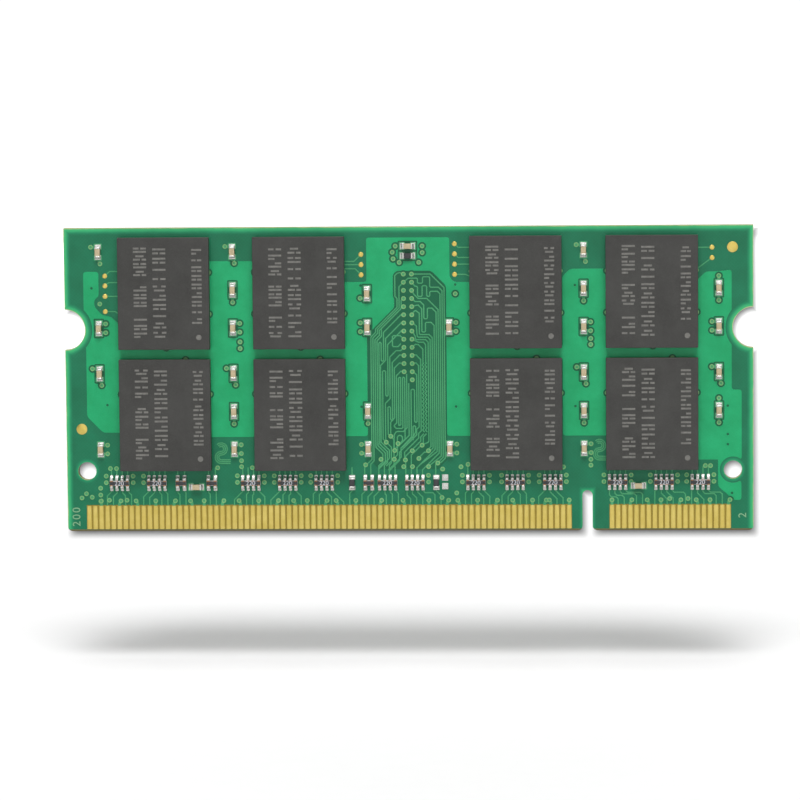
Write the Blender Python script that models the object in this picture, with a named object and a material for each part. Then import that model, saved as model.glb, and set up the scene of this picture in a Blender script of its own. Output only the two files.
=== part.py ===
"""A laptop memory module with 200 edge contacts: a notched circuit board with memory packages on both
sides, an identification chip on the back, and rows of resistors and capacitors on the front.

Run it with: blender --background --python part.py

Metres, +Z up. The board stands on its contact edge in the XZ plane, with the middle of that edge at the
origin. The front, which carries the even-numbered contacts, faces -Y. Each small part is modelled with
its seat on the plane y = 0 and its top towards -Y, and hangs on an empty that stands on one face of the
board, so that places on the back are given as seen from the back.
"""

import math

import bmesh
import bpy

MM = 0.001

# The board's outline, from the standard outline of 200-contact small-outline modules.
BOARD_WIDTH = 67.6 * MM
BOARD_HEIGHT = 30.0 * MM
BOARD_THICKNESS = 1.0 * MM
BOTTOM_CORNER_RADIUS = 0.5 * MM
LATCH_NOTCH_RADIUS = 2.0 * MM
LATCH_NOTCH_HEIGHT = 20.0 * MM
HOLE_DIAMETER = 1.8 * MM
HOLE_SPACING = 63.6 * MM
HOLE_HEIGHT = 6.0 * MM
KEY_SLOT_WIDTH = 1.0 * MM
KEY_SLOT_DEPTH = 4.0 * MM
KEY_SLOT_FROM_SIDE = 16.25 * MM
KEY_SLOT_MOUTH_RADIUS = 0.5 * MM
EDGE_BEVEL_HEIGHT = 0.2 * MM
EDGE_BEVEL_DEPTH = 0.2 * MM
ARC_STEP = math.radians(7.5)

# Gold edge contacts. Those of the two sides are half a pitch apart.
CONTACT_PITCH = 0.6 * MM
CONTACT_WIDTH = 0.45 * MM
CONTACT_THICKNESS = 0.05 * MM
CONTACT_BOTTOM = 0.22 * MM
CONTACT_TOP = 2.55 * MM
CONTACT_BAR_HEIGHT = 0.1 * MM
SHORT_ROW_CONTACTS = 20
LONG_ROW_CONTACTS = 80
ROW_GAP = 4.2 * MM
FIRST_CONTACT_FRONT = 2.45 * MM
FIRST_CONTACT_BACK = 2.15 * MM

# Every part stands this far off the surface it is soldered to, so that no two solids share a face.
SEAT_GAP = 0.02 * MM

# Memory packages: a moulded body on ball rows, four columns by two rows on each side.
PACKAGE_WIDTH = 9.0 * MM
PACKAGE_LENGTH = 11.0 * MM
PACKAGE_BODY = 0.8 * MM
PACKAGE_STANDOFF = 0.3 * MM
PACKAGE_EDGE_BEVEL = 0.04 * MM
PACKAGE_COLUMNS = [x * MM for x in (-23.9, -10.62, 10.62, 23.9)]
PACKAGE_ROWS = [z * MM for z in (23.6, 11.6)]
BALL_PITCH = 0.8 * MM
BALL_DIAMETER = 0.45 * MM
BALL_ROWS = 11
BALL_COLUMNS = (-4, -3, -2, 2, 3, 4)

# Identification chip: a small body with four leads on each side.
CHIP_WIDTH = 4.4 * MM
CHIP_LENGTH = 3.0 * MM
CHIP_BODY = 0.9 * MM
CHIP_STANDOFF = 0.1 * MM
CHIP_PLACE = (0.0, 11.5 * MM)
LEAD_PITCH = 0.65 * MM
LEAD_WIDTH = 0.25 * MM
LEAD_THICKNESS = 0.13 * MM
LEAD_FOOT = 0.55 * MM
LEAD_REACH = 1.0 * MM
LEADS_PER_SIDE = 4

# Small parts with a metal cap on each end.
CHIP_PART_LENGTH = 1.05 * MM
CHIP_PART_WIDTH = 0.55 * MM
CAPACITOR_HEIGHT = 0.5 * MM
RESISTOR_HEIGHT = 0.35 * MM
END_CAP_LENGTH = 0.25 * MM
END_CAP_WALL = 0.015 * MM

# Resistor arrays: a flat body with a row of terminals along each long side.
ARRAY_DEPTH = 1.0 * MM
ARRAY_HEIGHT = 0.4 * MM
TERMINAL_DEPTH = 0.2 * MM
QUAD_PITCH = 0.53 * MM
QUAD_TERMINAL = 0.36 * MM
DUAL_PITCH = 0.68 * MM
DUAL_TERMINAL = 0.36 * MM

# Where the small parts sit on the front, as (x, z). The resistors stand in one line above the contacts.
RESISTOR_LINE = 4.8 * MM
QUAD_ARRAYS = (-28.6, -24.9, -15.6, -11.95, -8.35, -2.1, 0.6, 6.6, 10.45, 14.15, 20.5, 25.05, 28.6)
DUAL_ARRAYS = (-22.5, -19.45, -3.95)
LINE_RESISTORS = (-5.6, 2.7)
FILTER_RESISTOR = (0.05, 27.15)
FLAT_CAPACITORS = {
    "clock_capacitor_left": (-21.0, 4.4),
    "clock_capacitor_right": (22.55, 4.45),
    "filter_capacitor": (0.05, 28.1),
}
# Upright capacitors stand beside a package at these heights from its middle.
CAPACITOR_OFFSETS = {"top": 4.05 * MM, "middle": 0.3 * MM, "bottom": -3.45 * MM}
CAPACITOR_COLUMNS = {
    "outer_left": (-30.4, ("top", "bottom")),
    "inner_left": (-17.2, ("top", "middle", "bottom")),
    "inner_right": (17.2, ("top", "middle", "bottom")),
}

FRONT, BACK = "front", "back"


def clear_scene():
    for obj in list(bpy.data.objects):
        bpy.data.objects.remove(obj)


def material(name, colour, roughness, metallic=0.0):
    made = bpy.data.materials.new(name)
    made.use_nodes = True
    shader = made.node_tree.nodes["Principled BSDF"]
    shader.inputs["Base Color"].default_value = (*colour, 1.0)
    shader.inputs["Roughness"].default_value = roughness
    shader.inputs["Metallic"].default_value = metallic
    return made


def arc(centre_x, centre_z, radius, start, end):
    """Points of an arc from the angle start to end, in degrees, with both ends."""
    first, last = math.radians(start), math.radians(end)
    steps = max(1, round(abs(last - first) / ARC_STEP))
    angles = [first + (last - first) * i / steps for i in range(steps + 1)]
    return [(centre_x + radius * math.cos(a), centre_z + radius * math.sin(a)) for a in angles]


def prism(name, outline, low, high, axis="y"):
    """A closed mesh: an outline, given in the plane across the axis, pushed from low to high."""
    places = {
        "x": lambda u, v: (low, u, v),
        "y": lambda u, v: (u, low, v),
        "z": lambda u, v: (u, v, low),
    }
    push = [high - low if letter == axis else 0 for letter in "xyz"]
    shape = bmesh.new()
    corners = [shape.verts.new(places[axis](u, v)) for u, v in outline]
    face = shape.faces.new(corners)
    pushed = bmesh.ops.extrude_face_region(shape, geom=[face])
    moved = [part for part in pushed["geom"] if isinstance(part, bmesh.types.BMVert)]
    bmesh.ops.translate(shape, verts=moved, vec=push)
    bmesh.ops.recalc_face_normals(shape, faces=shape.faces)
    mesh = bpy.data.meshes.new(name)
    shape.to_mesh(mesh)
    shape.free()
    mesh.shade_smooth()
    mesh.set_sharp_from_angle(angle=math.radians(30))
    return mesh


def rectangle(left, right, low, high):
    return [(left, low), (right, low), (right, high), (left, high)]


def merged(meshes, name):
    """One mesh that holds copies of several."""
    shape = bmesh.new()
    for mesh in meshes:
        shape.from_mesh(mesh)
    made = bpy.data.meshes.new(name)
    shape.to_mesh(made)
    shape.free()
    return made


def add_object(name, mesh, look=None):
    obj = bpy.data.objects.new(name, mesh)
    if look and not mesh.materials:
        mesh.materials.append(look)
    bpy.context.scene.collection.objects.link(obj)
    return obj


def combine(obj, mesh, operation):
    """Adds a Boolean that joins a mesh to the object or cuts it away."""
    helper = add_object(f"helper_{mesh.name}", mesh)
    helper.hide_render = True
    helper.display_type = "WIRE"
    boolean = obj.modifiers.new(mesh.name, "BOOLEAN")
    boolean.object = helper
    boolean.operation = operation


def finished_mesh(obj):
    """The object's mesh with its modifiers applied. The object itself is removed."""
    graph = bpy.context.evaluated_depsgraph_get()
    mesh = bpy.data.meshes.new_from_object(obj.evaluated_get(graph))
    mesh.name = obj.name
    bpy.data.objects.remove(obj)
    return mesh


def face_empty(side):
    """An empty on one face of the board. On the back it is turned, so that its +X runs to the left."""
    empty = bpy.data.objects.new(f"{side}_face", None)
    bpy.context.scene.collection.objects.link(empty)
    off_middle = BOARD_THICKNESS / 2 + SEAT_GAP
    empty.location.y = -off_middle if side == FRONT else off_middle
    empty.rotation_euler.z = 0 if side == FRONT else math.pi
    return empty


def place(name, mesh, face, x, z, quarter_turn=False):
    """Stands a part on a face of the board, turned so that its length runs along X if asked."""
    obj = add_object(name, mesh)
    obj.parent = face
    obj.location = (x, 0, z)
    obj.rotation_euler.y = math.pi / 2 if quarter_turn else 0
    return obj


def board_outline():
    """The board's outline in XZ, anticlockwise from the left end of the contact edge."""
    side = BOARD_WIDTH / 2
    corner = BOTTOM_CORNER_RADIUS
    slot = side - KEY_SLOT_FROM_SIDE
    half_slot = KEY_SLOT_WIDTH / 2
    mouth = KEY_SLOT_MOUTH_RADIUS
    points = arc(-side + corner, corner, corner, 180, 270)
    points += arc(slot - half_slot - mouth, mouth, mouth, -90, 0)
    points += arc(slot, KEY_SLOT_DEPTH - half_slot, half_slot, 180, 0)
    points += arc(slot + half_slot + mouth, mouth, mouth, 180, 270)
    points += arc(side - corner, corner, corner, -90, 0)
    points += arc(side, LATCH_NOTCH_HEIGHT, LATCH_NOTCH_RADIUS, 270, 90)
    points += [(side, BOARD_HEIGHT), (-side, BOARD_HEIGHT)]
    points += arc(-side, LATCH_NOTCH_HEIGHT, LATCH_NOTCH_RADIUS, 90, -90)
    return points


def make_board(look):
    """The laminate with its notches and key slot, the two holes, and a bevel along the contact edge."""
    half = BOARD_THICKNESS / 2
    board = add_object("circuit_board", prism("circuit_board", board_outline(), -half, half), look)
    for side, name in ((-1, "hole_left"), (1, "hole_right")):
        circle = arc(side * HOLE_SPACING / 2, HOLE_HEIGHT, HOLE_DIAMETER / 2, 0, 360)[:-1]
        combine(board, prism(name, circle, -2 * half, 2 * half), "DIFFERENCE")
    for side, name in ((-1, "edge_bevel_front"), (1, "edge_bevel_back")):
        wedge = [
            (side * (half + EDGE_BEVEL_DEPTH), 2 * EDGE_BEVEL_HEIGHT),
            (side * (half - 2 * EDGE_BEVEL_DEPTH), -EDGE_BEVEL_HEIGHT),
            (side * (half + EDGE_BEVEL_DEPTH), -EDGE_BEVEL_HEIGHT),
        ]
        combine(board, prism(name, wedge, -BOARD_WIDTH, BOARD_WIDTH, axis="x"), "DIFFERENCE")
    return board


def contact_comb(name, first, count, step):
    """A row of contacts from the x of the first one, joined along their upper ends by a thin bar."""
    start = first if step > 0 else first + (count - 1) * step
    half = CONTACT_WIDTH / 2
    bar = CONTACT_TOP - CONTACT_BAR_HEIGHT
    points = []
    for i in range(count):
        x = start + i * CONTACT_PITCH
        points += [(x - half, CONTACT_BOTTOM), (x + half, CONTACT_BOTTOM)]
        if i < count - 1:
            points += [(x + half, bar), (x - half + CONTACT_PITCH, bar)]
    points += [(start + (count - 1) * CONTACT_PITCH + half, CONTACT_TOP), (start - half, CONTACT_TOP)]
    return prism(name, points, -CONTACT_THICKNESS, 0)


def make_contacts(faces, look):
    """Both rows of each side. The first contact lies by the board's side that is nearer the key slot."""
    for side, from_side, towards in ((FRONT, FIRST_CONTACT_FRONT, -1), (BACK, FIRST_CONTACT_BACK, 1)):
        step = towards * CONTACT_PITCH
        first = -towards * (BOARD_WIDTH / 2 - from_side)
        long_first = first + (SHORT_ROW_CONTACTS - 1) * step + towards * ROW_GAP
        short_row = contact_comb(f"contacts_{side}_short", first, SHORT_ROW_CONTACTS, step)
        long_row = contact_comb(f"contacts_{side}_long", long_first, LONG_ROW_CONTACTS, step)
        for mesh in (short_row, long_row):
            mesh.materials.append(look)
            place(mesh.name, mesh, faces[side], 0, 0)


def memory_package(look):
    """The moulded body and, under it, one bar for each column of solder balls."""
    half_width, half_length = PACKAGE_WIDTH / 2, PACKAGE_LENGTH / 2
    top = -(PACKAGE_STANDOFF + PACKAGE_BODY)
    bevel = PACKAGE_EDGE_BEVEL
    body = bmesh.new()
    rings = []
    for inset, y in ((0, -PACKAGE_STANDOFF), (0, top + bevel), (bevel, top)):
        outline = rectangle(
            -half_width + inset, half_width - inset, -half_length + inset, half_length - inset
        )
        rings.append([body.verts.new((x, y, z)) for x, z in outline])
    body.faces.new(rings[0])
    body.faces.new(rings[-1])
    for low, high in zip(rings, rings[1:]):
        for i in range(4):
            body.faces.new((low[i], low[i - 1], high[i - 1], high[i]))
    bmesh.ops.recalc_face_normals(body, faces=body.faces)
    mesh = bpy.data.meshes.new("moulded_body")
    body.to_mesh(mesh)
    body.free()
    package = add_object("memory_package", mesh, look)
    reach = ((BALL_ROWS - 1) * BALL_PITCH + BALL_DIAMETER) / 2
    sunk = -(PACKAGE_STANDOFF + PACKAGE_BODY / 2)
    bars = []
    for column in BALL_COLUMNS:
        x = column * BALL_PITCH
        outline = rectangle(x - BALL_DIAMETER / 2, x + BALL_DIAMETER / 2, -reach, reach)
        bars.append(prism("ball_bar", outline, sunk, 0))
    combine(package, merged(bars, "ball_bars"), "UNION")
    return finished_mesh(package)


def make_memory_packages(faces, look):
    mesh = memory_package(look)
    for side in (FRONT, BACK):
        number = 1
        for z in PACKAGE_ROWS:
            for x in PACKAGE_COLUMNS:
                place(f"memory_package_{side}_{number}", mesh, faces[side], x, z)
                number += 1


def gull_wing(direction):
    """Outline in XY of a lead that leaves the body, steps down to the board and ends in a flat foot."""
    root = CHIP_WIDTH / 2 - LEAD_FOOT
    knee = CHIP_WIDTH / 2 + LEAD_REACH - LEAD_FOOT - LEAD_THICKNESS
    toe = CHIP_WIDTH / 2 + LEAD_REACH
    top = -(CHIP_STANDOFF + CHIP_BODY / 2)
    points = [
        (root, top),
        (knee, top),
        (knee + LEAD_THICKNESS, -LEAD_THICKNESS),
        (toe, -LEAD_THICKNESS),
        (toe, 0),
        (knee, 0),
        (knee - LEAD_THICKNESS, top + LEAD_THICKNESS),
        (root, top + LEAD_THICKNESS),
    ]
    return [(direction * x, y) for x, y in points]


def identification_chip(look):
    body_outline = rectangle(-CHIP_WIDTH / 2, CHIP_WIDTH / 2, -CHIP_LENGTH / 2, CHIP_LENGTH / 2)
    body_mesh = prism("chip_body", body_outline, -(CHIP_STANDOFF + CHIP_BODY), -CHIP_STANDOFF)
    chip = add_object("identification_chip", body_mesh, look)
    leads = []
    for direction in (-1, 1):
        for i in range(LEADS_PER_SIDE):
            z = (i - (LEADS_PER_SIDE - 1) / 2) * LEAD_PITCH
            half = LEAD_WIDTH / 2
            leads.append(prism("lead", gull_wing(direction), z - half, z + half, axis="z"))
    combine(chip, merged(leads, "leads"), "UNION")
    return finished_mesh(chip)


def two_ended_part(name, height, look):
    """An upright part: a body with a slightly thicker metal cap on its upper and lower end."""
    half_length = CHIP_PART_LENGTH / 2
    cap_edge = half_length - END_CAP_LENGTH
    sections = [
        (-half_length, END_CAP_WALL),
        (-cap_edge, END_CAP_WALL),
        (-cap_edge, 0),
        (cap_edge, 0),
        (cap_edge, END_CAP_WALL),
        (half_length, END_CAP_WALL),
    ]
    shape = bmesh.new()
    rings = []
    for z, proud in sections:
        half_width = CHIP_PART_WIDTH / 2 - END_CAP_WALL + proud
        outline = rectangle(-half_width, half_width, -height + END_CAP_WALL - proud, END_CAP_WALL - proud)
        # The caps rest on the seat plane and the body stays clear of it.
        rings.append([shape.verts.new((x, y - END_CAP_WALL, z)) for x, y in outline])
    shape.faces.new(rings[0])
    shape.faces.new(rings[-1])
    for low, high in zip(rings, rings[1:]):
        for i in range(4):
            shape.faces.new((low[i], low[i - 1], high[i - 1], high[i]))
    bmesh.ops.recalc_face_normals(shape, faces=shape.faces)
    mesh = bpy.data.meshes.new(name)
    shape.to_mesh(mesh)
    shape.free()
    mesh.materials.append(look)
    return mesh


def resistor_array(name, count, pitch, terminal, look):
    """A flat body whose two long sides are notched between its terminals."""
    half_depth = ARRAY_DEPTH / 2
    half_width = ((count - 1) * pitch + terminal) / 2
    inner = half_depth - TERMINAL_DEPTH
    lower = []
    for i in range(count):
        left = -half_width + i * pitch
        lower += [(left, -half_depth), (left + terminal, -half_depth)]
        if i < count - 1:
            lower += [(left + terminal, -inner), (left + pitch, -inner)]
    upper = [(-x, -z) for x, z in lower]
    mesh = prism(name, lower + upper, -ARRAY_HEIGHT, 0)
    mesh.materials.append(look)
    return mesh


def make_resistors(face, look):
    quad = resistor_array("quad_array", 4, QUAD_PITCH, QUAD_TERMINAL, look)
    dual = resistor_array("dual_array", 2, DUAL_PITCH, DUAL_TERMINAL, look)
    single = two_ended_part("resistor", RESISTOR_HEIGHT, look)
    for number, x in enumerate(QUAD_ARRAYS, 1):
        place(f"resistor_array_{number}", quad, face, x * MM, RESISTOR_LINE)
    for number, x in enumerate(DUAL_ARRAYS, 1):
        place(f"resistor_pair_{number}", dual, face, x * MM, RESISTOR_LINE)
    for number, x in enumerate(LINE_RESISTORS, 1):
        place(f"resistor_{number}", single, face, x * MM, RESISTOR_LINE)
    x, z = FILTER_RESISTOR
    place("filter_resistor", single, face, x * MM, z * MM, quarter_turn=True)


def make_capacitors(face, look):
    mesh = two_ended_part("capacitor", CAPACITOR_HEIGHT, look)
    for name, (x, z) in FLAT_CAPACITORS.items():
        place(name, mesh, face, x * MM, z * MM, quarter_turn=True)
    for column, (x, offsets) in CAPACITOR_COLUMNS.items():
        for row, middle in zip(("upper", "lower"), PACKAGE_ROWS):
            for where in offsets:
                z = middle + CAPACITOR_OFFSETS[where]
                place(f"capacitor_{column}_{row}_{where}", mesh, face, x * MM, z)


def main():
    clear_scene()
    mask_green = material("solder_mask", (0.02, 0.24, 0.10), 0.35)
    gold = material("gold_plating", (0.75, 0.52, 0.16), 0.28, metallic=1.0)
    mould = material("mould_compound", (0.065, 0.062, 0.06), 0.6)
    ceramic = material("capacitor_ceramic", (0.62, 0.47, 0.30), 0.45)
    glaze = material("resistor_glaze", (0.02, 0.02, 0.022), 0.3)
    faces = {side: face_empty(side) for side in (FRONT, BACK)}
    make_board(mask_green)
    make_contacts(faces, gold)
    make_memory_packages(faces, mould)
    place("identification_chip", identification_chip(mould), faces[BACK], *CHIP_PLACE)
    make_resistors(faces[FRONT], glaze)
    make_capacitors(faces[FRONT], ceramic)


main()
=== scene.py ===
"""The looks of a 200-contact laptop memory module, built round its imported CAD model.

Lengths are in millimetres until a mesh is made. Everything that lies on the board is drawn on one of its
two faces: across (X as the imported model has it) and up (Z), with the height above the laminate. On the
back the same X runs the other way as seen, so outlines are drawn in X and turned round when they are
placed. Copper, tracks and vias are real relief under the solder mask, a few hundredths of a millimetre high.
"""

import math
import random

import bmesh
import bpy
from mathutils import Matrix, Vector
from mathutils.geometry import delaunay_2d_cdt


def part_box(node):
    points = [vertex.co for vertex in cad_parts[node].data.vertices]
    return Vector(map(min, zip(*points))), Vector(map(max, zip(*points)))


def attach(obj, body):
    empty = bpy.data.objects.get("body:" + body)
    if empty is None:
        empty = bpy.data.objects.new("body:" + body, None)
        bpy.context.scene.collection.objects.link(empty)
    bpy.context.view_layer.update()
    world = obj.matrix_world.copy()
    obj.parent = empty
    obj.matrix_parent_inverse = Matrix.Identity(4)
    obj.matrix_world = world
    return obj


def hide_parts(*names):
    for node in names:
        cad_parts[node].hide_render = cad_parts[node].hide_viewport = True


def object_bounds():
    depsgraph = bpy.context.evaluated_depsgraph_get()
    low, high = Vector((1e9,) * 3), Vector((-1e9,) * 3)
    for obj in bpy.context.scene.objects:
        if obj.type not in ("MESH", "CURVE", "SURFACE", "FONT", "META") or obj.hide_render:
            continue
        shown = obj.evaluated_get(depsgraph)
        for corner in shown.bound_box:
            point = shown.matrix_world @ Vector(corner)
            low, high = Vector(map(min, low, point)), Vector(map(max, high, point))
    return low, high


MM = 0.001
SIDES = ("front", "back")
SEED = 7

# Heights above the laminate.
COPPER_HIGH = 0.03
WINDOW_HIGH = 0.008
GAP_HIGH = 0.003
INK_HIGH = 0.045
PAD_HIGH = 0.05
FINGER_HIGH = 0.065

# Edge contacts.
PITCH = 0.6
FINGER_WIDTH = 0.45
FINGER_BEVEL = 0.05
WINDOW_TOP = 2.62
WINDOW_MARGIN = 0.03
# Contacts that carry power or ground go straight up to a via. They are counted from the left.
LONG_ROW_POWER = (
    2, 5, 8, 11, 14, 17, 19, 22, 25, 28, 31, 34, 36, 39, 41, 44, 48, 52, 56, 59, 61, 64, 67, 70, 73, 75,
    76, 79,
)
SHORT_ROW_POWER = (0, 3, 6, 8, 11, 14, 16, 19)
POWER_CONTACTS = (("long", LONG_ROW_POWER), ("short", SHORT_ROW_POWER))

# Copper under the mask.
TRACK = 0.11
WIDE_TRACK = 0.28
MOAT = 0.12
VIA_PAD, VIA_GAP = 0.24, 0.4
TEST_GAP, TARGET_GAP = 0.4, 1.0
MASKED_RADIUS = 0.13
VIA_COLUMN_PITCH = 0.8
VIA_COLUMN_TOP = 25.35
VIA_COLUMNS = ((-0.38, 13), (0.42, 14))  # the X of each column, and how many vias it has

# Tracks between the line of resistors and the contacts: the heights where they leave the terminals, of the
# highest lane and of the lowest slant, the pitch of the lanes, how far a track may reach aside and how far it
# likes to lean, and the heights of the tracks' lower ends and of the power contacts' vias.
TERMINAL_LOW, TERMINAL_HIGH = 4.2, 5.4
LANE_TOP, SLANT_LOW, LANE_PITCH = 3.98, 2.85, 0.15
TRACK_REACH, TRACK_LEAN = 2.2, 0.35
SHORT_SLANT = 0.2
TRACK_FOOT = 2.5
POWER_VIAS = 3.03

# The board's outline.
NOTCH_RADIUS, NOTCH_HEIGHT = 2.0, 20.0
HOLE_X, HOLE_Z, HOLE_RADIUS = 31.8, 6.0, 0.9
SLOT_X, SLOT_WIDTH, SLOT_TOP = 17.55, 1.0, 4.0

# Parts on the board.
STAND_OFF = 0.02
PACKAGE_SPANS = ((-28.4, -19.4), (-15.12, -6.12), (6.12, 15.12), (19.4, 28.4))
PAD_OFFSET = 0.55
PAD_HALVES, GAP_HALVES = (0.4, 0.3), (0.52, 0.97)  # half the width and height, for an upright part
BALL_PITCH = 0.8
BALL_COLUMNS = (-4, -3, -2, 2, 3, 4)
BALL_ROWS = 10
MOULD_TOP = 0.8  # from the balls to the lid
SUBSTRATE = 0.26
CHIP_WIDTH = 4.4
TURNED_PARTS = ("clock_capacitor_left", "clock_capacitor_right", "filter_capacitor", "filter_resistor")

# Print on the board: the text, its side and its place.
NUMBERS = (
    ("200", "front", -32.9, 1.45), ("2", "front", 32.75, 1.5), ("199", "back", -32.9, 1.45),
    ("1", "back", 32.75, 1.5),
)

# The camera: how far round, up and rolled, in degrees, and its shifts in shares of the picture.
CAMERA_ANGLES = (2.98, 5.52, -0.495)
CAMERA_DISTANCE = 400
CAMERA_LENS = 183.14
CAMERA_SHIFTS = (-0.0104, -0.0265)

# The floor's height. Each sun: its name, lean to the front, turn aside, strength and width.
FLOOR = -13.5
SUNS = (
    ("sun_left", 34, -10, 0.9, 22),
    ("sun_middle", 36, 2, 0.9, 24),
    ("sun_right", 34, 14, 0.9, 22),
    ("sun_high", 4, 0, 1.05, 26),
)


# ---------------------------------------------------------------------------------------------- geometry


def arc(x, z, radius, start, end, steps=8):
    """Points from the angle start to end, in degrees, anticlockwise if end is larger."""
    return [
        (
            x + radius * math.cos(math.radians(start + (end - start) * i / steps)),
            z + radius * math.sin(math.radians(start + (end - start) * i / steps)),
        )
        for i in range(steps + 1)
    ]


def disc(x, z, radius, steps=16):
    return arc(x, z, radius, 0, 360, steps)[:-1]


def rectangle(left, right, low, high, corner=0.0):
    if not corner:
        return [(left, low), (right, low), (right, high), (left, high)]
    c = corner
    return (
        arc(left + c, low + c, c, 180, 270, 3)
        + arc(right - c, low + c, c, 270, 360, 3)
        + arc(right - c, high - c, c, 0, 90, 3)
        + arc(left + c, high - c, c, 90, 180, 3)
    )


def centred(width, length, corner=0.0):
    """A rectangle about the origin."""
    return rectangle(-width / 2, width / 2, -length / 2, length / 2, corner)


def rounded(outline, radius=0.3, steps=4):
    """The outline with each corner turned into an arc-like curve."""
    made = []
    count = len(outline)
    for i, corner in enumerate(outline):
        here = Vector(corner)
        before, after = Vector(outline[i - 1]) - here, Vector(outline[(i + 1) % count]) - here
        reach = min(radius, before.length * 0.45, after.length * 0.45)
        first, last = here + before.normalized() * reach, here + after.normalized() * reach
        for step in range(steps + 1):
            t = step / steps
            made.append(tuple(first * (1 - t) ** 2 + here * (2 * t * (1 - t)) + last * t**2))
    return made


def ribbon(points, width=TRACK):
    """The outlines of a track that follows the points: one strip for each leg, long enough to mitre."""
    strips = []
    for first, last in zip(points, points[1:]):
        along = Vector(last) - Vector(first)
        if along.length < 1e-6:
            continue
        reach = along.normalized() * (width * 0.21)
        aside = Vector((-along.y, along.x)).normalized() * (width / 2)
        start, end = Vector(first) - reach, Vector(last) + reach
        strips.append([tuple(start - aside), tuple(end - aside), tuple(end + aside), tuple(start + aside)])
    return strips


def ribbons(tracks, width=TRACK):
    return [strip for track in tracks for strip in ribbon(track, width)]


def anticlockwise(outline):
    area = sum(a[0] * b[1] - b[0] * a[1] for a, b in zip(outline, outline[1:] + outline[:1]))
    return outline if area > 0 else outline[::-1]


def triangulated(outlines, mirrored):
    """Triangles that fill the outlines together, and for each the numbers of the outlines it lies in."""
    points, faces = [], []
    for outline in outlines:
        if mirrored:
            outline = [(-x, z) for x, z in outline]
        outline = anticlockwise(outline)
        faces.append(list(range(len(points), len(points) + len(outline))))
        points += [Vector(p) for p in outline]
    flat, _, triangles, _, _, owners = delaunay_2d_cdt(points, [], faces, 1, 1e-5)
    return flat, triangles, owners


def layer(shape, flat, triangles, low, high, material=0):
    """Adds a slab over the given triangles, with walls round its rim."""
    verts = {}
    made = []
    for triangle in triangles:
        for i in triangle:
            if i not in verts:
                verts[i] = shape.verts.new((flat[i].x, -high, flat[i].y))
        made.append(shape.faces.new([verts[i] for i in triangle]))
        made[-1].material_index = material
    rim = [edge for face in made for edge in face.edges if len(edge.link_faces) == 1]
    for part in bmesh.ops.extrude_edge_only(shape, edges=list(dict.fromkeys(rim)))["geom"]:
        if isinstance(part, bmesh.types.BMVert):
            part.co.y = -low
        if isinstance(part, bmesh.types.BMFace):
            part.material_index = material


def slab(shape, adds, low, high, mirrored=False, cuts=()):
    """Adds a slab that covers the outlines in adds, less those in cuts."""
    flat, triangles, owners = triangulated([*adds, *cuts], mirrored)
    kept = [t for t, o in zip(triangles, owners) if o and max(o) < len(adds)]
    layer(shape, flat, kept, low, high)


def lathe(shape, x, z, profile, steps=12, materials=None):
    """Adds a round part standing on the face at (x, z), from a profile of (radius, height)."""
    rings = []
    for radius, height in profile:
        if radius == 0:
            rings.append([shape.verts.new((x, -height, z))] * steps)
        else:
            rings.append([shape.verts.new((u, -height, w)) for u, w in disc(x, z, radius, steps)])
    for index, (lower, upper) in enumerate(zip(rings, rings[1:])):
        for i in range(steps):
            corners = (lower[i - 1], lower[i], upper[i], upper[i - 1])
            face = shape.faces.new(list(dict.fromkeys(corners)))
            face.smooth = True
            face.material_index = materials[index] if materials else 0


def block(shape, centre, size, bevel=0.0, material=0, segments=2):
    """Adds a box with rounded edges. Its centre is (across, height, up), and so is its size."""
    x, height, z = centre
    made = bmesh.ops.create_cube(shape, size=1.0)["verts"]
    for vertex in made:
        vertex.co = Vector((x, -height, z)) + Vector([a * b for a, b in zip(vertex.co, size)])
    faces = list({face for vertex in made for face in vertex.link_faces})
    if bevel:
        edges = list({edge for face in faces for edge in face.edges})
        rounding = {"offset": bevel, "segments": segments, "affect": "EDGES", "profile": 0.5}
        result = bmesh.ops.bevel(shape, geom=edges, **rounding)
        faces = list({face for vertex in result["verts"] for face in vertex.link_faces})
    for face in faces:
        face.material_index = material
    return faces


def loft(shape, rings, material=0, smooth=True):
    """Adds a closed skin through rings of the same number of points, in (x, y, z)."""
    rows = [[shape.verts.new(point) for point in ring] for ring in rings]
    faces = [shape.faces.new(rows[0]), shape.faces.new(rows[-1][::-1])]
    for low, high in zip(rows, rows[1:]):
        for i in range(len(low)):
            face = shape.faces.new((low[i], low[i - 1], high[i - 1], high[i]))
            face.smooth = smooth
            faces.append(face)
    for face in faces:
        face.material_index = material
    bmesh.ops.recalc_face_normals(shape, faces=faces)


def finish_mesh(shape, name, materials, angle=35):
    """The mesh in metres, smooth but for edges sharper than the angle. The shape is used up."""
    bmesh.ops.recalc_face_normals(shape, faces=shape.faces)
    bmesh.ops.scale(shape, verts=shape.verts, vec=(MM, MM, MM))
    mesh = bpy.data.meshes.new(name)
    shape.to_mesh(mesh)
    shape.free()
    for made in materials:
        mesh.materials.append(made)
    mesh.shade_smooth()
    mesh.set_sharp_from_angle(angle=math.radians(angle))
    return mesh


def show(name, data):
    """A new object in the scene."""
    made = bpy.data.objects.new(name, data)
    bpy.context.scene.collection.objects.link(made)
    return made


def as_seen(side, x):
    """How far to the right a place at X of the model is, to someone who looks at this side."""
    return x if side == "front" else -x


def face_matrix(side):
    """From a face's own axes to the model's: X to the right as seen, -Y out of the face."""
    turn = Matrix.Rotation(0 if side == "front" else math.pi, 4, "Z")
    return turn @ Matrix.Translation((0, -BOARD_HALF * MM, 0))


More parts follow.
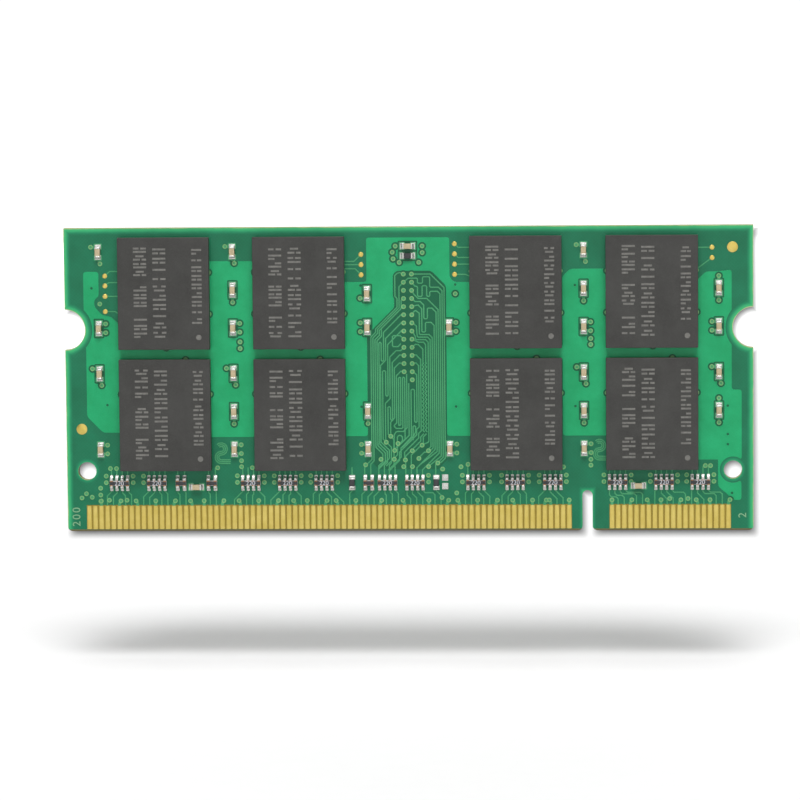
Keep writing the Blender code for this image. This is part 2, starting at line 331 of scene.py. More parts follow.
def put(name, mesh, side, x=0.0, z=0.0, turn=0.0, replaces=()):
    """Shows a mesh on a face of the board, at X and Z of the model."""
    piece = show(name, mesh)
    where = Matrix.Translation((as_seen(side, x) * MM, 0, z * MM))
    piece.matrix_world = face_matrix(side) @ where @ Matrix.Rotation(turn, 4, "Y")
    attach(piece, "root")
    if replaces:
        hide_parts(*replaces)


def put_shape(name, shape, materials, side, x=0.0, z=0.0, angle=35, replaces=()):
    """Finishes a shape and shows it, with one name for the mesh and the object."""
    put(name, finish_mesh(shape, name, materials, angle), side, x, z, replaces=replaces)


# --------------------------------------------------------------------------------------------- materials


class Nodes:
    """A material's node tree, with short calls for the nodes that the materials here share."""

    def __init__(self, name):
        self.material = bpy.data.materials.new(name)
        self.material.use_nodes = True
        self.tree = self.material.node_tree
        self.shader = self.tree.nodes["Principled BSDF"]
        geometry = self.add("ShaderNodeNewGeometry")
        self.position, self.normal = geometry.outputs["Position"], geometry.outputs["True Normal"]

    def add(self, kind, **settings):
        node = self.tree.nodes.new(kind)
        for key, value in settings.items():
            setattr(node, key, value)
        return node

    def join(self, source, target):
        self.tree.links.new(source, target)

    def stretched(self, scale):
        """The position with each axis scaled."""
        node = self.add("ShaderNodeVectorMath", operation="MULTIPLY")
        self.join(self.position, node.inputs[0])
        node.inputs[1].default_value = scale
        return node.outputs[0]

    def noise(self, size, detail=4.0, roughness=0.6, stretch=(1, 1, 1)):
        """Noise with patches of about this size, in millimetres."""
        node = self.add("ShaderNodeTexNoise")
        self.join(self.stretched(stretch), node.inputs["Vector"])
        node.inputs["Scale"].default_value = 1 / (size * MM)
        node.inputs["Detail"].default_value = detail
        node.inputs["Roughness"].default_value = roughness
        return node.outputs["Fac"]

    def math(self, operation, first, second=0.0, clamp=False):
        node = self.add("ShaderNodeMath", operation=operation, use_clamp=clamp)
        for socket, value in zip(node.inputs, (first, second)):
            if isinstance(value, (int, float)):
                socket.default_value = value
            else:
                self.join(value, socket)
        return node.outputs[0]

    def times(self, first, second):
        return self.math("MULTIPLY", first, second)

    def minus(self, first, second):
        return self.math("SUBTRACT", first, second)

    def weighted(self, *parts, clamp=False):
        """The sum of outputs that each count for a share, given as (output, share)."""
        total, *rest = [self.times(*part) for part in parts]
        for part in rest[:-1]:
            total = self.math("ADD", total, part)
        return self.math("ADD", total, rest[-1], clamp)

    def spread(self, value, low, high, to_low=0.0, to_high=1.0):
        """Moves a value from one range to another, without going beyond it."""
        node = self.add("ShaderNodeMapRange")
        self.join(value, node.inputs["Value"])
        limits = (("From Min", low), ("From Max", high), ("To Min", to_low), ("To Max", to_high))
        for name, number in limits:
            node.inputs[name].default_value = number
        return node.outputs["Result"]

    def mix(self, share, first, second):
        """Blends two colours, each a node's output or a tuple. The node's sockets go by number here."""
        node = self.add("ShaderNodeMix", data_type="RGBA")
        self.join(share, node.inputs[0])
        for socket, value in ((node.inputs[6], first), (node.inputs[7], second)):
            if isinstance(value, tuple):
                socket.default_value = (*value, 1.0)
            else:
                self.join(value, socket)
        return node.outputs[2]

    def axis(self, vector, letter):
        node = self.add("ShaderNodeSeparateXYZ")
        self.join(vector, node.inputs[0])
        return node.outputs["XYZ".index(letter)]

    def bump(self, height, strength, distance):
        node = self.add("ShaderNodeBump")
        node.inputs["Strength"].default_value = strength
        node.inputs["Distance"].default_value = distance * MM
        self.join(height, node.inputs["Height"])
        self.join(node.outputs["Normal"], self.shader.inputs["Normal"])

    def set(self, **values):
        """Sets shader sockets: Base_Color=... stands for Base Color."""
        for key, value in values.items():
            socket = self.shader.inputs[key.replace("_", " ")]
            if isinstance(value, bpy.types.NodeSocket):
                self.join(value, socket)
            elif isinstance(value, tuple):
                socket.default_value = (*value, 1.0)
            else:
                socket.default_value = value


def glass_weave(nodes, size=0.35):
    """Crossed threads of the glass cloth in the laminate, as a height from 0 to 1."""
    waves = []
    for letter in "XZ":
        along = nodes.times(nodes.axis(nodes.position, letter), 2 * math.pi / (size * MM))
        waves.append(nodes.math("SINE", along))
    return nodes.spread(nodes.times(*waves), -1, 1)


def solder_mask(name, deep, pale, weave):
    """Green lacquer: a deep body colour with pale clouding, a soft gloss and the cloth showing faintly."""
    nodes = Nodes(name)
    clouds = nodes.spread(nodes.noise(2.5, 3), 0.3, 0.7)
    fine = nodes.spread(nodes.noise(0.12, 3), 0.25, 0.75)
    cloth = glass_weave(nodes)
    share = nodes.weighted((clouds, 0.5), (cloth, weave), (fine, 0.2), clamp=True)
    nodes.set(
        Base_Color=nodes.mix(share, deep, pale),
        Roughness=nodes.spread(nodes.noise(0.6, 4), 0.2, 0.8, 0.3, 0.42),
        Specular_IOR_Level=0.22,
    )
    nodes.bump(nodes.weighted((cloth, 0.6), (fine, 0.4)), 0.25, 0.01)
    return nodes


def distance_to_edge(nodes, margin=0.0, aside=0.0, down=0.0):
    """How far a point lies from the board's outline, and how far up it is, in metres.

    Holes and the slot count as smaller by the margin. The outline can be moved aside and down.
    """
    along = nodes.minus(nodes.axis(nodes.position, "X"), aside * MM)
    across = nodes.math("ABSOLUTE", along)
    up = nodes.math("ADD", nodes.axis(nodes.position, "Z"), down * MM)
    distances = [nodes.minus(BOARD_WIDTH / 2 * MM, across), nodes.minus(BOARD_HEIGHT * MM, up)]
    rounds = ((BOARD_WIDTH / 2, NOTCH_HEIGHT, NOTCH_RADIUS), (HOLE_X, HOLE_Z, HOLE_RADIUS - margin))
    for x, z, radius in rounds:
        beside, above = nodes.minus(across, x * MM), nodes.minus(up, z * MM)
        square = nodes.math("ADD", nodes.times(beside, beside), nodes.times(above, above))
        distances.append(nodes.minus(nodes.math("SQRT", square), radius * MM))
    beside = nodes.math("ABSOLUTE", nodes.minus(along, SLOT_X * MM))
    beside = nodes.minus(beside, (SLOT_WIDTH / 2 - margin) * MM)
    distances.append(nodes.math("MAXIMUM", beside, nodes.minus(up, (SLOT_TOP - margin) * MM)))
    nearest = distances[0]
    for distance in distances[1:]:
        nearest = nodes.math("MINIMUM", nearest, distance)
    return nearest, up


def board_material():
    """Dark mask on the faces, paler in bands along the outline, plies and strands on the sawn edges, and
    painted shade on the sawn laminate near the bottom edge.
    """
    nodes = solder_mask("mask_over_laminate", (0.004, 0.108, 0.048), (0.008, 0.165, 0.08), 0.22)
    masked = nodes.shader.inputs["Base Color"].links[0].from_socket
    edge = nodes.math("ADD", distance_to_edge(nodes, 0.3)[0], nodes.times(nodes.noise(1.5, 3), 0.15 * MM))
    bands = (
        (0.45, 0.72, (0.010, 0.215, 0.095)),
        (0.25, 0.5, (0.035, 0.36, 0.135)),
        (0.08, 0.16, (0.38, 0.44, 0.20)),
    )
    for outer, inner, colour in bands:
        masked = nodes.mix(nodes.spread(edge, outer * MM, inner * MM), colour, masked)
    facing = nodes.math("ABSOLUTE", nodes.axis(nodes.normal, "Y"))
    is_face = nodes.math("GREATER_THAN", facing, 0.9)
    plies = nodes.math("SINE", nodes.times(nodes.axis(nodes.position, "Y"), 2 * math.pi / (0.2 * MM)))
    strands = nodes.noise(0.25, 6, 0.7, (1, 6, 1))
    mixed = nodes.weighted((nodes.spread(plies, -1, 1), 0.35), (strands, 0.65))
    laminate = nodes.mix(nodes.spread(mixed, 0.3, 0.7), (0.20, 0.23, 0.08), (0.44, 0.46, 0.24))
    # Painted shade: the sawn laminate turns dark towards the bottom edge, which faces down.
    foot = nodes.spread(nodes.axis(nodes.position, "Z"), 0.1 * MM, 0.5 * MM)
    laminate = nodes.mix(foot, (0.13, 0.11, 0.05), laminate)
    nodes.set(
        Base_Color=nodes.mix(is_face, laminate, masked),
        Roughness=nodes.spread(is_face, 0, 1, 0.75, 0.34),
    )
    return nodes.material


def window_material():
    """Bare laminate between the contacts, where the mask is left open."""
    nodes = Nodes("bare_laminate")
    cloth = glass_weave(nodes, 0.3)
    fine = nodes.noise(0.15, 4)
    share = nodes.weighted((cloth, 0.4), (fine, 0.6))
    nodes.set(
        Base_Color=nodes.mix(share, (0.17, 0.12, 0.008), (0.32, 0.235, 0.028)),
        Roughness=0.5,
        Specular_IOR_Level=0.3,
    )
    nodes.bump(share, 0.3, 0.01)
    return nodes.material


def gold_material():
    """Soft gold plating with fine wiping marks up and down, and a few darker stains."""
    nodes = Nodes("gold_plating")
    wipes = nodes.noise(0.06, 4, 0.6, (1, 1, 0.06))
    stains = nodes.spread(nodes.noise(0.9, 4), 0.35, 0.7)
    tone = nodes.weighted((wipes, 0.5), (stains, 0.5))
    nodes.set(
        Base_Color=nodes.mix(tone, (0.51, 0.385, 0.083), (0.64, 0.52, 0.165)),
        Metallic=1.0,
        Roughness=nodes.spread(wipes, 0.2, 0.8, 0.28, 0.44),
    )
    nodes.bump(wipes, 0.25, 0.006)
    return nodes.material


def tin_material():
    """Reflowed solder and tinned ends: lumpy, slightly grey and bright only where it turns to a lamp."""
    nodes = Nodes("tin")
    lumps = nodes.noise(0.18, 4)
    grain = nodes.noise(0.03, 3)
    nodes.set(
        Base_Color=nodes.mix(lumps, (0.38, 0.38, 0.36), (0.60, 0.60, 0.57)),
        Metallic=0.6,
        Roughness=nodes.spread(grain, 0.2, 0.8, 0.2, 0.38),
    )
    nodes.bump(lumps, 0.6, 0.03)
    return nodes.material


def mould_material():
    """Black moulded epoxy: filler grains show as fine pale specks under a matt skin."""
    nodes = Nodes("mould_compound")
    grains = nodes.noise(0.05, 3, 0.7)
    specks = nodes.spread(grains, 0.5, 0.8)
    clouds = nodes.spread(nodes.noise(3.0, 3), 0.3, 0.7)
    body = nodes.mix(clouds, (0.030, 0.0295, 0.0275), (0.043, 0.0425, 0.040))
    nodes.set(
        Base_Color=nodes.mix(nodes.times(specks, 0.5), body, (0.10, 0.098, 0.09)),
        Roughness=nodes.spread(nodes.noise(0.4, 4), 0.2, 0.8, 0.5, 0.64),
        Specular_IOR_Level=0.28,
    )
    nodes.bump(grains, 0.35, 0.012)
    return nodes.material


def marking_material(name, dull, bright):
    """Laser marking: the mould's surface turned pale grey, unevenly."""
    nodes = Nodes(name)
    burn = nodes.spread(nodes.noise(0.25, 4), 0.3, 0.7)
    fine = nodes.noise(0.05, 3)
    nodes.set(
        Base_Color=nodes.mix(nodes.times(burn, fine), dull, bright),
        Roughness=nodes.spread(fine, 0.2, 0.8, 0.6, 0.8),
    )
    nodes.bump(fine, 0.4, 0.01)
    return nodes.material


def ceramic_material(name, dark, light):
    """Any fine-grained, evenly clouded surface: fired ceramic, glaze, laminate or print."""
    nodes = Nodes(name)
    grain = nodes.noise(0.04, 3)
    clouds = nodes.noise(0.3, 3)
    share = nodes.weighted((grain, 0.4), (clouds, 0.6))
    nodes.set(Base_Color=nodes.mix(share, dark, light), Roughness=nodes.spread(grain, 0.2, 0.8, 0.35, 0.55))
    nodes.bump(grain, 0.3, 0.01)
    return nodes.material


def edge_shadow_material():
    """A painted soft shadow, as if on paper close behind the module: it shows below and to the right of each
    edge.
    """
    nodes = Nodes("edge_shadow")
    nearest, up = distance_to_edge(nodes, aside=0.25, down=0.45)
    joined = nodes.math("SMOOTH_MIN", nearest, up)
    joined.node.inputs[2].default_value = 0.9 * MM  # how far apart the two still blend
    share = nodes.spread(joined, -0.6 * MM, 0.55 * MM)
    smooth = nodes.times(nodes.times(share, nodes.minus(3.0, nodes.times(share, 2.0))), share)
    grain = nodes.spread(nodes.noise(0.4, 3), 0, 1, 0.82, 0.88)
    # Painted shadow: a near-black sheet whose opacity fades with distance from the outline, moved aside and
    # down.
    nodes.set(Base_Color=(0.012, 0.012, 0.013), Roughness=1.0, Specular_IOR_Level=0.0)
    nodes.set(Alpha=nodes.times(smooth, grain))
    return nodes.material


def floor_material():
    """White paper, which glows a little more the farther it is before or behind the module."""
    nodes = Nodes("studio_paper")
    grain = nodes.noise(2.0, 3)
    nodes.set(Base_Color=nodes.mix(grain, (0.81, 0.81, 0.81), (0.83, 0.83, 0.83)), Roughness=0.9)
    away = nodes.math("ABSOLUTE", nodes.axis(nodes.position, "Y"))
    nodes.set(Emission_Color=(1.0, 1.0, 1.0), Emission_Strength=nodes.spread(away, 0.06, 0.5, 0.0, 0.3))
    return nodes.material


# ------------------------------------------------------------------------------------ places of the parts


def frame_box(node):
    """A node's lowest and highest corner, in millimetres."""
    low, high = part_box(node)
    return [value / MM for value in low], [value / MM for value in high]


def frame_centre(node):
    """The X and Z of a node's middle, in millimetres."""
    low, high = frame_box(node)
    return (low[0] + high[0]) / 2, (low[2] + high[2]) / 2


def fingers(side, row):
    """The X of each contact in a row, from the left."""
    low, high = frame_box(f"contacts_{side}_{row}")
    count = round((high[0] - low[0] - FINGER_WIDTH) / PITCH) + 1
    return [low[0] + FINGER_WIDTH / 2 + i * PITCH for i in range(count)]


def landing_vias(x, z, role, outward):
    """Vias that belong to an upright capacitor, by its place beside its package."""
    if role == "top":
        return [(x - 0.7, z + 0.5), (x + 0.2, z - 1.15)]
    if role == "bottom":
        return [(x + 0.67 * outward, z + 0.45), (x + 0.67 * outward, z - 0.42)]
    if role == "aside":
        return [(x + 0.67 * outward, z - 0.45)]
    if abs(x) > 30:
        return [(x, z - 1.22), (x, z + 1.18)]
    return [(x, z - 1.22)]


def passive_places():
    """Every capacitor and single resistor of a side: {name: (kind, x, z, turned, role, outward)}."""
    heights = [frame_centre(n)[1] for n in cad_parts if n.startswith("memory_package_front")]
    rows = {"upper": max(heights), "lower": min(heights)}
    offsets = {"top": 4.05, "middle": 0.27, "aside": -0.15, "bottom": -3.47}
    everywhere = ("top", "middle", "bottom")
    # For each column: its X, what stands beside the upper and lower packages, and the way to its vias.
    columns = {
        "outer_left": (-30.42, {"upper": ("top", "bottom"), "lower": ("top", "bottom")}, 1),
        "inner_left": (-17.18, {"upper": everywhere, "lower": everywhere}, 1),
        "centre_left": (-3.97, {"upper": ("aside", "bottom"), "lower": ("middle", "bottom")}, -1),
        "centre_right": (4.07, {"upper": ("bottom",), "lower": ("bottom",)}, 1),
        "inner_right": (17.25, {"upper": everywhere, "lower": everywhere}, 1),
        "outer_right": (30.44, {"upper": ("middle", "bottom"), "lower": ("top", "middle")}, -1),
    }
    places = {}
    for column, (x, roles, outward) in columns.items():
        for row, middle in rows.items():
            for role in roles[row]:
                name = f"capacitor_{column}_{row}_{role}"
                places[name] = ("capacitor", x, middle + offsets[role], False, role, outward)
    for name in TURNED_PARTS:
        kind = "resistor" if "resistor" in name else "capacitor"
        places[name] = (kind, *frame_centre(name), True, None, 0)
    return places


# ------------------------------------------------------------------------------------------ board artwork


def board_openings():
    """Round the notches and holes, where neither copper nor the darker gap mask, with its painted shade, may
    lie.
    """
    openings = []
    for x in (-1, 1):
        side = BOARD_WIDTH / 2
        openings.append(disc(x * side, NOTCH_HEIGHT, NOTCH_RADIUS + 0.72, 48))
        openings.append(disc(x * HOLE_X, HOLE_Z, HOLE_RADIUS + 0.4, 32))
    return openings


def field_outline():
    """The middle area, where tracks lie close together and the pour stops."""
    return [
        (-2.9, 6.1), (-3.8, 7.0), (-4.0, 9.4), (-4.0, 19.35), (-1.3, 22.05), (-1.3, 22.9), (-1.42, 23.15),
        (-1.42, 25.3), (-1.05, 25.68), (2.35, 25.68), (3.8, 24.2), (3.8, 9.4), (3.75, 7.0), (2.9, 6.1),
    ]


def pour_outlines():
    """The light copper areas between the packages."""
    left = [
        (-31.9, 25.72), (-31.9, 18.5), (-31.72, 18.3), (-31.72, 11.4), (-30.15, 9.82), (-27.5, 9.8),
        (-27.5, 20.2), (-28.5, 20.6), (-29.25, 21.3), (-30.1, 21.45), (-30.85, 22.3), (-30.85, 22.95),
        (-30.4, 23.3), (-30.4, 25.72),
    ]
    inner_left = [(-20, 9.35), (-15.12, 9.35), (-15.12, 26.7), (-20, 26.7)]
    centre = [
        (-7, 9.4), *field_outline()[2:-2], (7, 9.4), (7, 24.55), (4.6, 24.55), (4.15, 25.0), (4.15, 28.95),
        (-4.0, 28.95), (-4.0, 24.6), (-7, 24.6),
    ]
    inner_right = [(15.18, 9.4), (20, 9.4), (20, 25.8), (15.95, 25.8), (15.18, 25.05)]
    right = [
        (27.5, 7.0), (32.65, 7.0), (32.65, 13.88), (31.68, 13.88), (31.68, 25.63), (30.3, 25.47),
        (29.2, 25.47), (28.34, 24.65), (27.5, 24.0),
    ]
    corner_right = [
        (30.35, 7.3), (30.35, 4.35), (30.8, 3.95), (31.2, 3.65), (31.75, 3.0), (32.62, 3.0), (32.62, 4.9),
        (31.4, 4.9), (31.4, 7.3),
    ]
    bands = [(-27.5, -20), (-15.5, -6.5), (6.5, 15.5), (19.5, 28)]
    pours = [rounded(o, 0.3) for o in (left, inner_left, centre, inner_right, right, corner_right)]
    return pours + [rectangle(west, east, 16.9, 18.3) for west, east in bands]


def zigzag(x, high, low, swing=0.08, step=0.2):
    """A delay line that runs down in small turns to and fro."""
    highest = step * math.floor(high / step)
    points = []
    for i in range(int((highest - low) / step)):
        aside = swing if round(highest / step - i) % 2 else -swing
        points.append((x + aside, highest - step * i))
    return points


# The tracks of the middle area, from the columns of vias down to the resistors.
LEFT_TRACKS = (
    [(-0.38, 25.35), (-0.75, 25.5), (-1.0, 25.42), (-1.22, 25.2), (-1.22, 23.2), (-1.02, 22.95),
     (-1.02, 22.1), (-3.15, 19.97), (-3.15, 19.65), (-3.62, 19.15), (-3.62, 7.1), (-4.35, 6.35),
     (-4.35, 5.5)],
    [(-0.38, 24.55), (-0.82, 24.1), (-0.82, 22.05), (-2.95, 19.92), (-2.95, 19.55), (-3.42, 19.08),
     (-3.42, 6.95), (-3.75, 6.6), (-3.75, 5.5)],
    [(-0.38, 23.0), (-0.62, 22.75), (-0.62, 21.98), (-2.78, 19.82), (-2.78, 19.35), (-3.22, 18.9),
     (-3.22, 8.3), (-2.55, 7.63), (-2.55, 6.85), (-2.96, 6.45), (-2.96, 5.5)],
    [(-0.38, 22.2), (-2.58, 20.0), (-2.58, 19.25), (-3.02, 18.8), (-3.02, 8.45), (-2.3, 7.73), (-2.3, 6.9),
     (-2.96, 6.25)],
    [(-0.38, 21.4), (-0.6, 21.4), (-2.38, 19.62), (-2.38, 16.8), (-2.62, 16.8), (-2.62, 18.65),
     (-2.84, 18.65), (-2.84, 8.6), (-2.1, 7.86), (-2.1, 6.8), (-2.41, 6.5), (-2.41, 5.5)],
    [(-0.38, 20.6), (-0.6, 20.6), (-2.18, 19.02), (-2.18, 16.9), (-2.7, 16.35), (-2.7, 8.8), (-1.9, 8.0),
     (-1.9, 7.2), (-2.95, 6.15)],
    [(-0.38, 19.8), (-0.6, 19.8), (-1.98, 18.42), (-1.98, 13.35), (-2.2, 13.35), (-2.2, 15.85),
     (-2.5, 15.85), (-2.5, 9.1), (-1.7, 8.3), (-1.7, 6.75), (-1.92, 6.5), (-1.92, 5.5)],
    [(-0.38, 18.95), (-0.75, 19.3), (-1.5, 19.3), (-1.5, 18.22), (-0.95, 18.22), (-0.7, 18.5)],
    [(-0.38, 18.15), (-0.7, 17.82), (-1.15, 17.82), (-1.78, 17.2), (-1.78, 13.1), (-2.25, 12.63),
     (-2.25, 9.4), (-2.25, 8.8)],
    [(-0.38, 17.4), (-0.8, 17.4), (-1.55, 16.65), (-1.55, 10.95), (-1.75, 10.95), (-1.75, 12.3),
     (-2.0, 12.3), (-2.0, 9.6), (-1.45, 9.05), (-1.45, 6.5), (-1.36, 6.4), (-1.36, 5.5)],
    [(-0.38, 16.6), (-0.85, 16.6), (-1.35, 16.1), (-1.35, 11.2), (-1.75, 10.75), (-1.75, 9.5)],
    [(-0.38, 15.8), (-0.7, 15.8), (-1.15, 15.35), (-1.15, 10.7), (-1.45, 10.4), (-1.2, 10.15),
     (-0.55, 10.15), (-0.55, 15.2), (-0.34, 15.2), (-0.34, 9.1), (-1.1, 8.35), (-1.1, 7.55), (-2.2, 6.45)],
    [(-0.95, 10.45), (-0.95, 15.1), (-0.75, 15.25), (-0.75, 10.45), (-0.95, 10.45)],
    [(-1.42, 8.0), (-1.42, 9.5), (-1.2, 9.85), (-0.5, 9.85), (-0.14, 10.2), (-0.14, 15.5)],
    [(-1.1, 8.65), (-1.1, 9.35), (-0.85, 9.5), (-0.6, 9.35), (-0.6, 8.95), (-1.42, 8.05)],
)
RIGHT_TRACKS = (
    [(0.42, 25.35), (2.25, 25.35), (3.6, 24.0), (3.6, 7.2), (3.2, 6.8), (2.85, 6.8)],
    [(-0.38, 24.55), (0.1, 24.95), (1.0, 24.95), (1.0, 24.45), (1.5, 24.45), (1.5, 25.08), (2.2, 25.08),
     (2.2, 24.05), (3.05, 24.05), (3.4, 23.7), (3.4, 7.3), (2.65, 6.55), (2.65, 5.5)],
    [(0.42, 24.55), (0.75, 24.15), (1.0, 24.15), (1.0, 23.15), (1.45, 23.15), (1.45, 24.2), (1.9, 24.2),
     (1.9, 23.15), (2.2, 23.15), (2.2, 23.65), (2.95, 23.65), (3.2, 23.4), (3.2, 7.4), (1.95, 6.4)],
    [(0.42, 23.75), (0.65, 23.35), (1.05, 22.95), (1.9, 22.95), (3.0, 21.85), (3.0, 7.7), (1.35, 6.05),
     (1.35, 5.5)],
    [(0.42, 23.0), (0.75, 22.65), (1.25, 22.65), (1.6, 22.3), (1.6, 20.95), (1.95, 20.95), (1.95, 22.0),
     (2.4, 22.0), (2.8, 21.6), (2.8, 7.85), (1.15, 6.6)],
    [(0.42, 22.2), (1.05, 22.3), (1.4, 21.95), (1.4, 19.65), (1.75, 19.65), (1.75, 20.6), (2.3, 20.6),
     (2.6, 20.3), (2.6, 8.05), (0.8, 6.25), (0.8, 5.5)],
    [(0.42, 21.4), (0.75, 21.8), (1.15, 21.5), (1.15, 19.4), (2.1, 19.4), (2.4, 19.1), (2.4, 8.2),
     (2.0, 7.8), (1.55, 7.8), (0.95, 7.2)],
    [(0.42, 20.6), (0.85, 20.25), (0.95, 19.15), (1.95, 19.15), (2.2, 18.9), (2.2, 8.35), (1.85, 8.0)],
    [(0.42, 19.8), (0.75, 19.2), (0.75, 18.9), (1.75, 18.9), (2.0, 18.65), (2.0, 8.8), (1.3, 8.5)],
    [(0.42, 18.95), (1.05, 18.65), (1.55, 18.65), (1.75, 18.4), (1.75, 16.6)],
    [(1.75, 9.6), (1.45, 9.3), (1.45, 8.7), (0.25, 7.5), (0.25, 5.5)],
    [(0.42, 18.15), (0.75, 18.45), (1.05, 18.4), (1.48, 17.95), (1.48, 16.5)],
    [(1.48, 9.6), (1.2, 9.3), (1.2, 8.9), (-0.3, 7.4), (-0.3, 5.5)],
    [(0.42, 17.4), (0.8, 17.4), (1.25, 16.95), (1.25, 9.9), (1.0, 9.65), (1.0, 9.2), (-0.4, 7.8),
     (-0.4, 7.1)],
    [(0.42, 16.6), (0.8, 16.6), (1.05, 16.35), (1.05, 10.3), (0.8, 10.05), (0.8, 9.5), (-0.9, 7.8),
     (-0.9, 7.0), (-1.92, 5.95)],
    [(0.42, 15.8), (0.85, 15.45), (0.85, 10.75), (0.62, 10.75), (0.62, 14.0), (0.28, 14.0), (0.28, 9.3),
     (-0.75, 8.2), (-0.75, 7.3), (-2.0, 6.05)],
    [(0.45, 9.0), (0.45, 10.4), (0.7, 10.4), (0.7, 9.8), (0.5, 9.4), (-0.6, 8.3)],
    [(0.06, 14.6), (0.06, 9.45), (-1.0, 8.4)],
)
WAVY_LANES = (1.48, 1.75)
WAVY_TOP, WAVY_LOW = 16.6, 9.6


def bevelled(path, cut=0.09):
    """The path with each sharp corner cut across."""
    points = [path[0]]
    for before, here, after in zip(path, path[1:], path[2:]):
        to, on = Vector(here) - Vector(before), Vector(after) - Vector(here)
        if to.angle(on) < 1:
            points.append(here)
            continue
        short = min(cut, to.length / 2, on.length / 2)
        points.append(tuple(Vector(here) - to.normalized() * short))
        points.append(tuple(Vector(here) + on.normalized() * short))
    return [*points, path[-1]]


def field_tracks():
    """The tracks between the columns of vias and the middle resistors."""
    paths = [bevelled(path) for path in (*LEFT_TRACKS, *RIGHT_TRACKS)]
    return paths + [zigzag(x, WAVY_TOP, WAVY_LOW) for x in WAVY_LANES]


def swirl(x, z, radius=0.42):
    """Three nested tracks that bend in an S beside a capacitor and end under a package."""
    tracks = []
    for lane in (-0.18, 0, 0.18):
        upper = arc(x, z + radius, radius + lane, 130, -90, 12)
        lower = arc(x, z - radius, radius - lane, 90, 270, 12)
        tracks.append([*upper, *lower[1:], (x + 0.9, z - 2 * radius + lane)])
    return tracks


def signal_places(side):
    """The X of each contact that carries a signal."""
    wanted = []
    for row, power in POWER_CONTACTS:
        wanted += [x for i, x in enumerate(fingers(side, row)) if i not in power]
    return wanted


def escape_path(start, end, level):
    """A track that goes down from a terminal, across on a slant and down to a contact."""
    way = 1 if end > start else -1
    across = abs(end - start)
    corner = across if across < level - SLANT_LOW else SHORT_SLANT
    path = [(start, TERMINAL_LOW), (start, level), (start + way * corner, level - corner)]
    if across > corner:
        path += [(end - way * SHORT_SLANT, level - corner), (end, level - corner - SHORT_SLANT)]
    return [*path, (end, TRACK_FOOT)]


def escape_tracks(side, arrays):
    """From the lower terminals of the resistors down to the contacts that carry signals.

    Each takes the free contact nearest to a place a little to its left, or on the far right to its right.
    """
    wanted = signal_places(side)
    tracks, used = [], -BOARD_WIDTH
    for centre, count in arrays:
        runs = []
        for start in terminal_places(centre, count):
            free = [x for x in wanted if x > used and abs(x - start) < TRACK_REACH]
            if free:
                lean = -TRACK_LEAN if start < 15 else TRACK_LEAN
                used = min(free, key=lambda x: abs(x - start - lean))
                runs.append((start, used))
        for lane, (start, end) in enumerate(runs):
            deep = len(runs) - 1 - lane if end > start else lane
            tracks.append(escape_path(start, end, LANE_TOP - LANE_PITCH * deep))
    return tracks


def terminal_places(centre, count):
    """The X of each terminal on one side of a part in the line of resistors."""
    pitch = {4: 0.53, 2: 0.68, 1: 0}[count]
    return [centre + (i - (count - 1) / 2) * pitch for i in range(count)]


def array_places():
    """(x, number of terminals a side) of each part in the line of resistors."""
    kinds = {"resistor_array": 4, "resistor_pair": 2}
    nodes = [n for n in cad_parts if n.startswith("resistor_")]
    return sorted((frame_centre(n)[0], kinds.get(n.rsplit("_", 1)[0], 1)) for n in nodes)


def power_stubs(side):
    """Wide copper from the power contacts up to their vias, which stand straight above or a little aside."""
    tracks, vias = [], []
    for row, power in POWER_CONTACTS:
        places = fingers(side, row)
        for number, i in enumerate(power):
            x = places[i]
            via = (x + (0, 0.15, -0.15)[number % 3], POWER_VIAS)
            tracks.append([(x, TRACK_FOOT), (x, POWER_VIAS - 0.25), via])
            vias.append(via)
    return tracks, vias


def side_vias(arrays):
    """Two vias by each side of a four-element array where there is room."""
    vias = []
    for x, count in arrays:
        if count != 4:
            continue
        for way in (-1, 1):
            beside = x + way * 1.33
            others = [(other, n) for other, n in arrays if other != x]
            if not any(abs(other - beside) < (0.7 if n == 1 else 1.4) for other, n in others):
                vias += [(beside, 5.5), (beside, 4.85)]
    return vias


# Vias among the tracks of the middle area, and round the part at the top.
CENTRE_CLUSTER = (
    (-4.25, 6.56), (-2.73, 7.1), (-1.42, 7.1), (-1.37, 7.97), (-1.04, 8.66), (-2.2, 8.79), (-1.75, 9.38),
    (-0.5, 6.37), (-0.33, 7.03), (0.36, 7.94), (1.33, 8.49), (1.95, 7.94), (1.0, 7.18), (2.86, 6.72),
    (0.36, 6.37), (1.95, 6.37), (3.33, 6.12), (4.7, 3.75), (5.14, 6.34), (5.83, 6.58),
)
TOP_CLUSTER = (
    (-1.15, 28.1), (-1.45, 27.5), (-1.37, 26.85), (-0.77, 26.5), (1.49, 28.1), (1.49, 27.45), (1.14, 26.5),
)
# Vias that stand alone or in short upright runs: the X and the heights of each.
LONE_VIAS = (
    (-16.5, (7.0, 6.4)), (17.9, (7.05, 6.47)), (-29.5, (6.25,)), (-28.9, (6.25,)), (-15.44, (6.3,)),
    (15.2, (6.3,)), (29.1, (6.4,)), (29.6, (6.4,)), (-30.5, (4.3, 3.62, 3.0)), (-31.92, (3.75,)),
    (-32.37, (3.33,)), (-31.35, (3.4,)), (-18.87, (6.3,)), (4.7, (23.4,)),
    (-29.65, (3.1,)), (-27.9, (3.1,)), (3.25, (3.3,)), (25.6, (3.15,)), (27.4, (3.15,)),
    (-30.3, (22.55,)), (-16.5, (18.75, 18.1)), (17.93, (18.95, 18.36)),
)
# Small vias with masked mouths, which show only as dark dots.
MASKED_HOLES = (
    (31.3, 9.5), (31.3, 8.5), (31.3, 12.3), (4.7, 12.3), (16.4, 24.2), (16.4, 12.3), (4.7, 24.3),
    (-29.7, 12.55), (-4.6, 24.25), (-4.6, 12.3), (31.7, 3.7), (-31.1, 24.1),
)
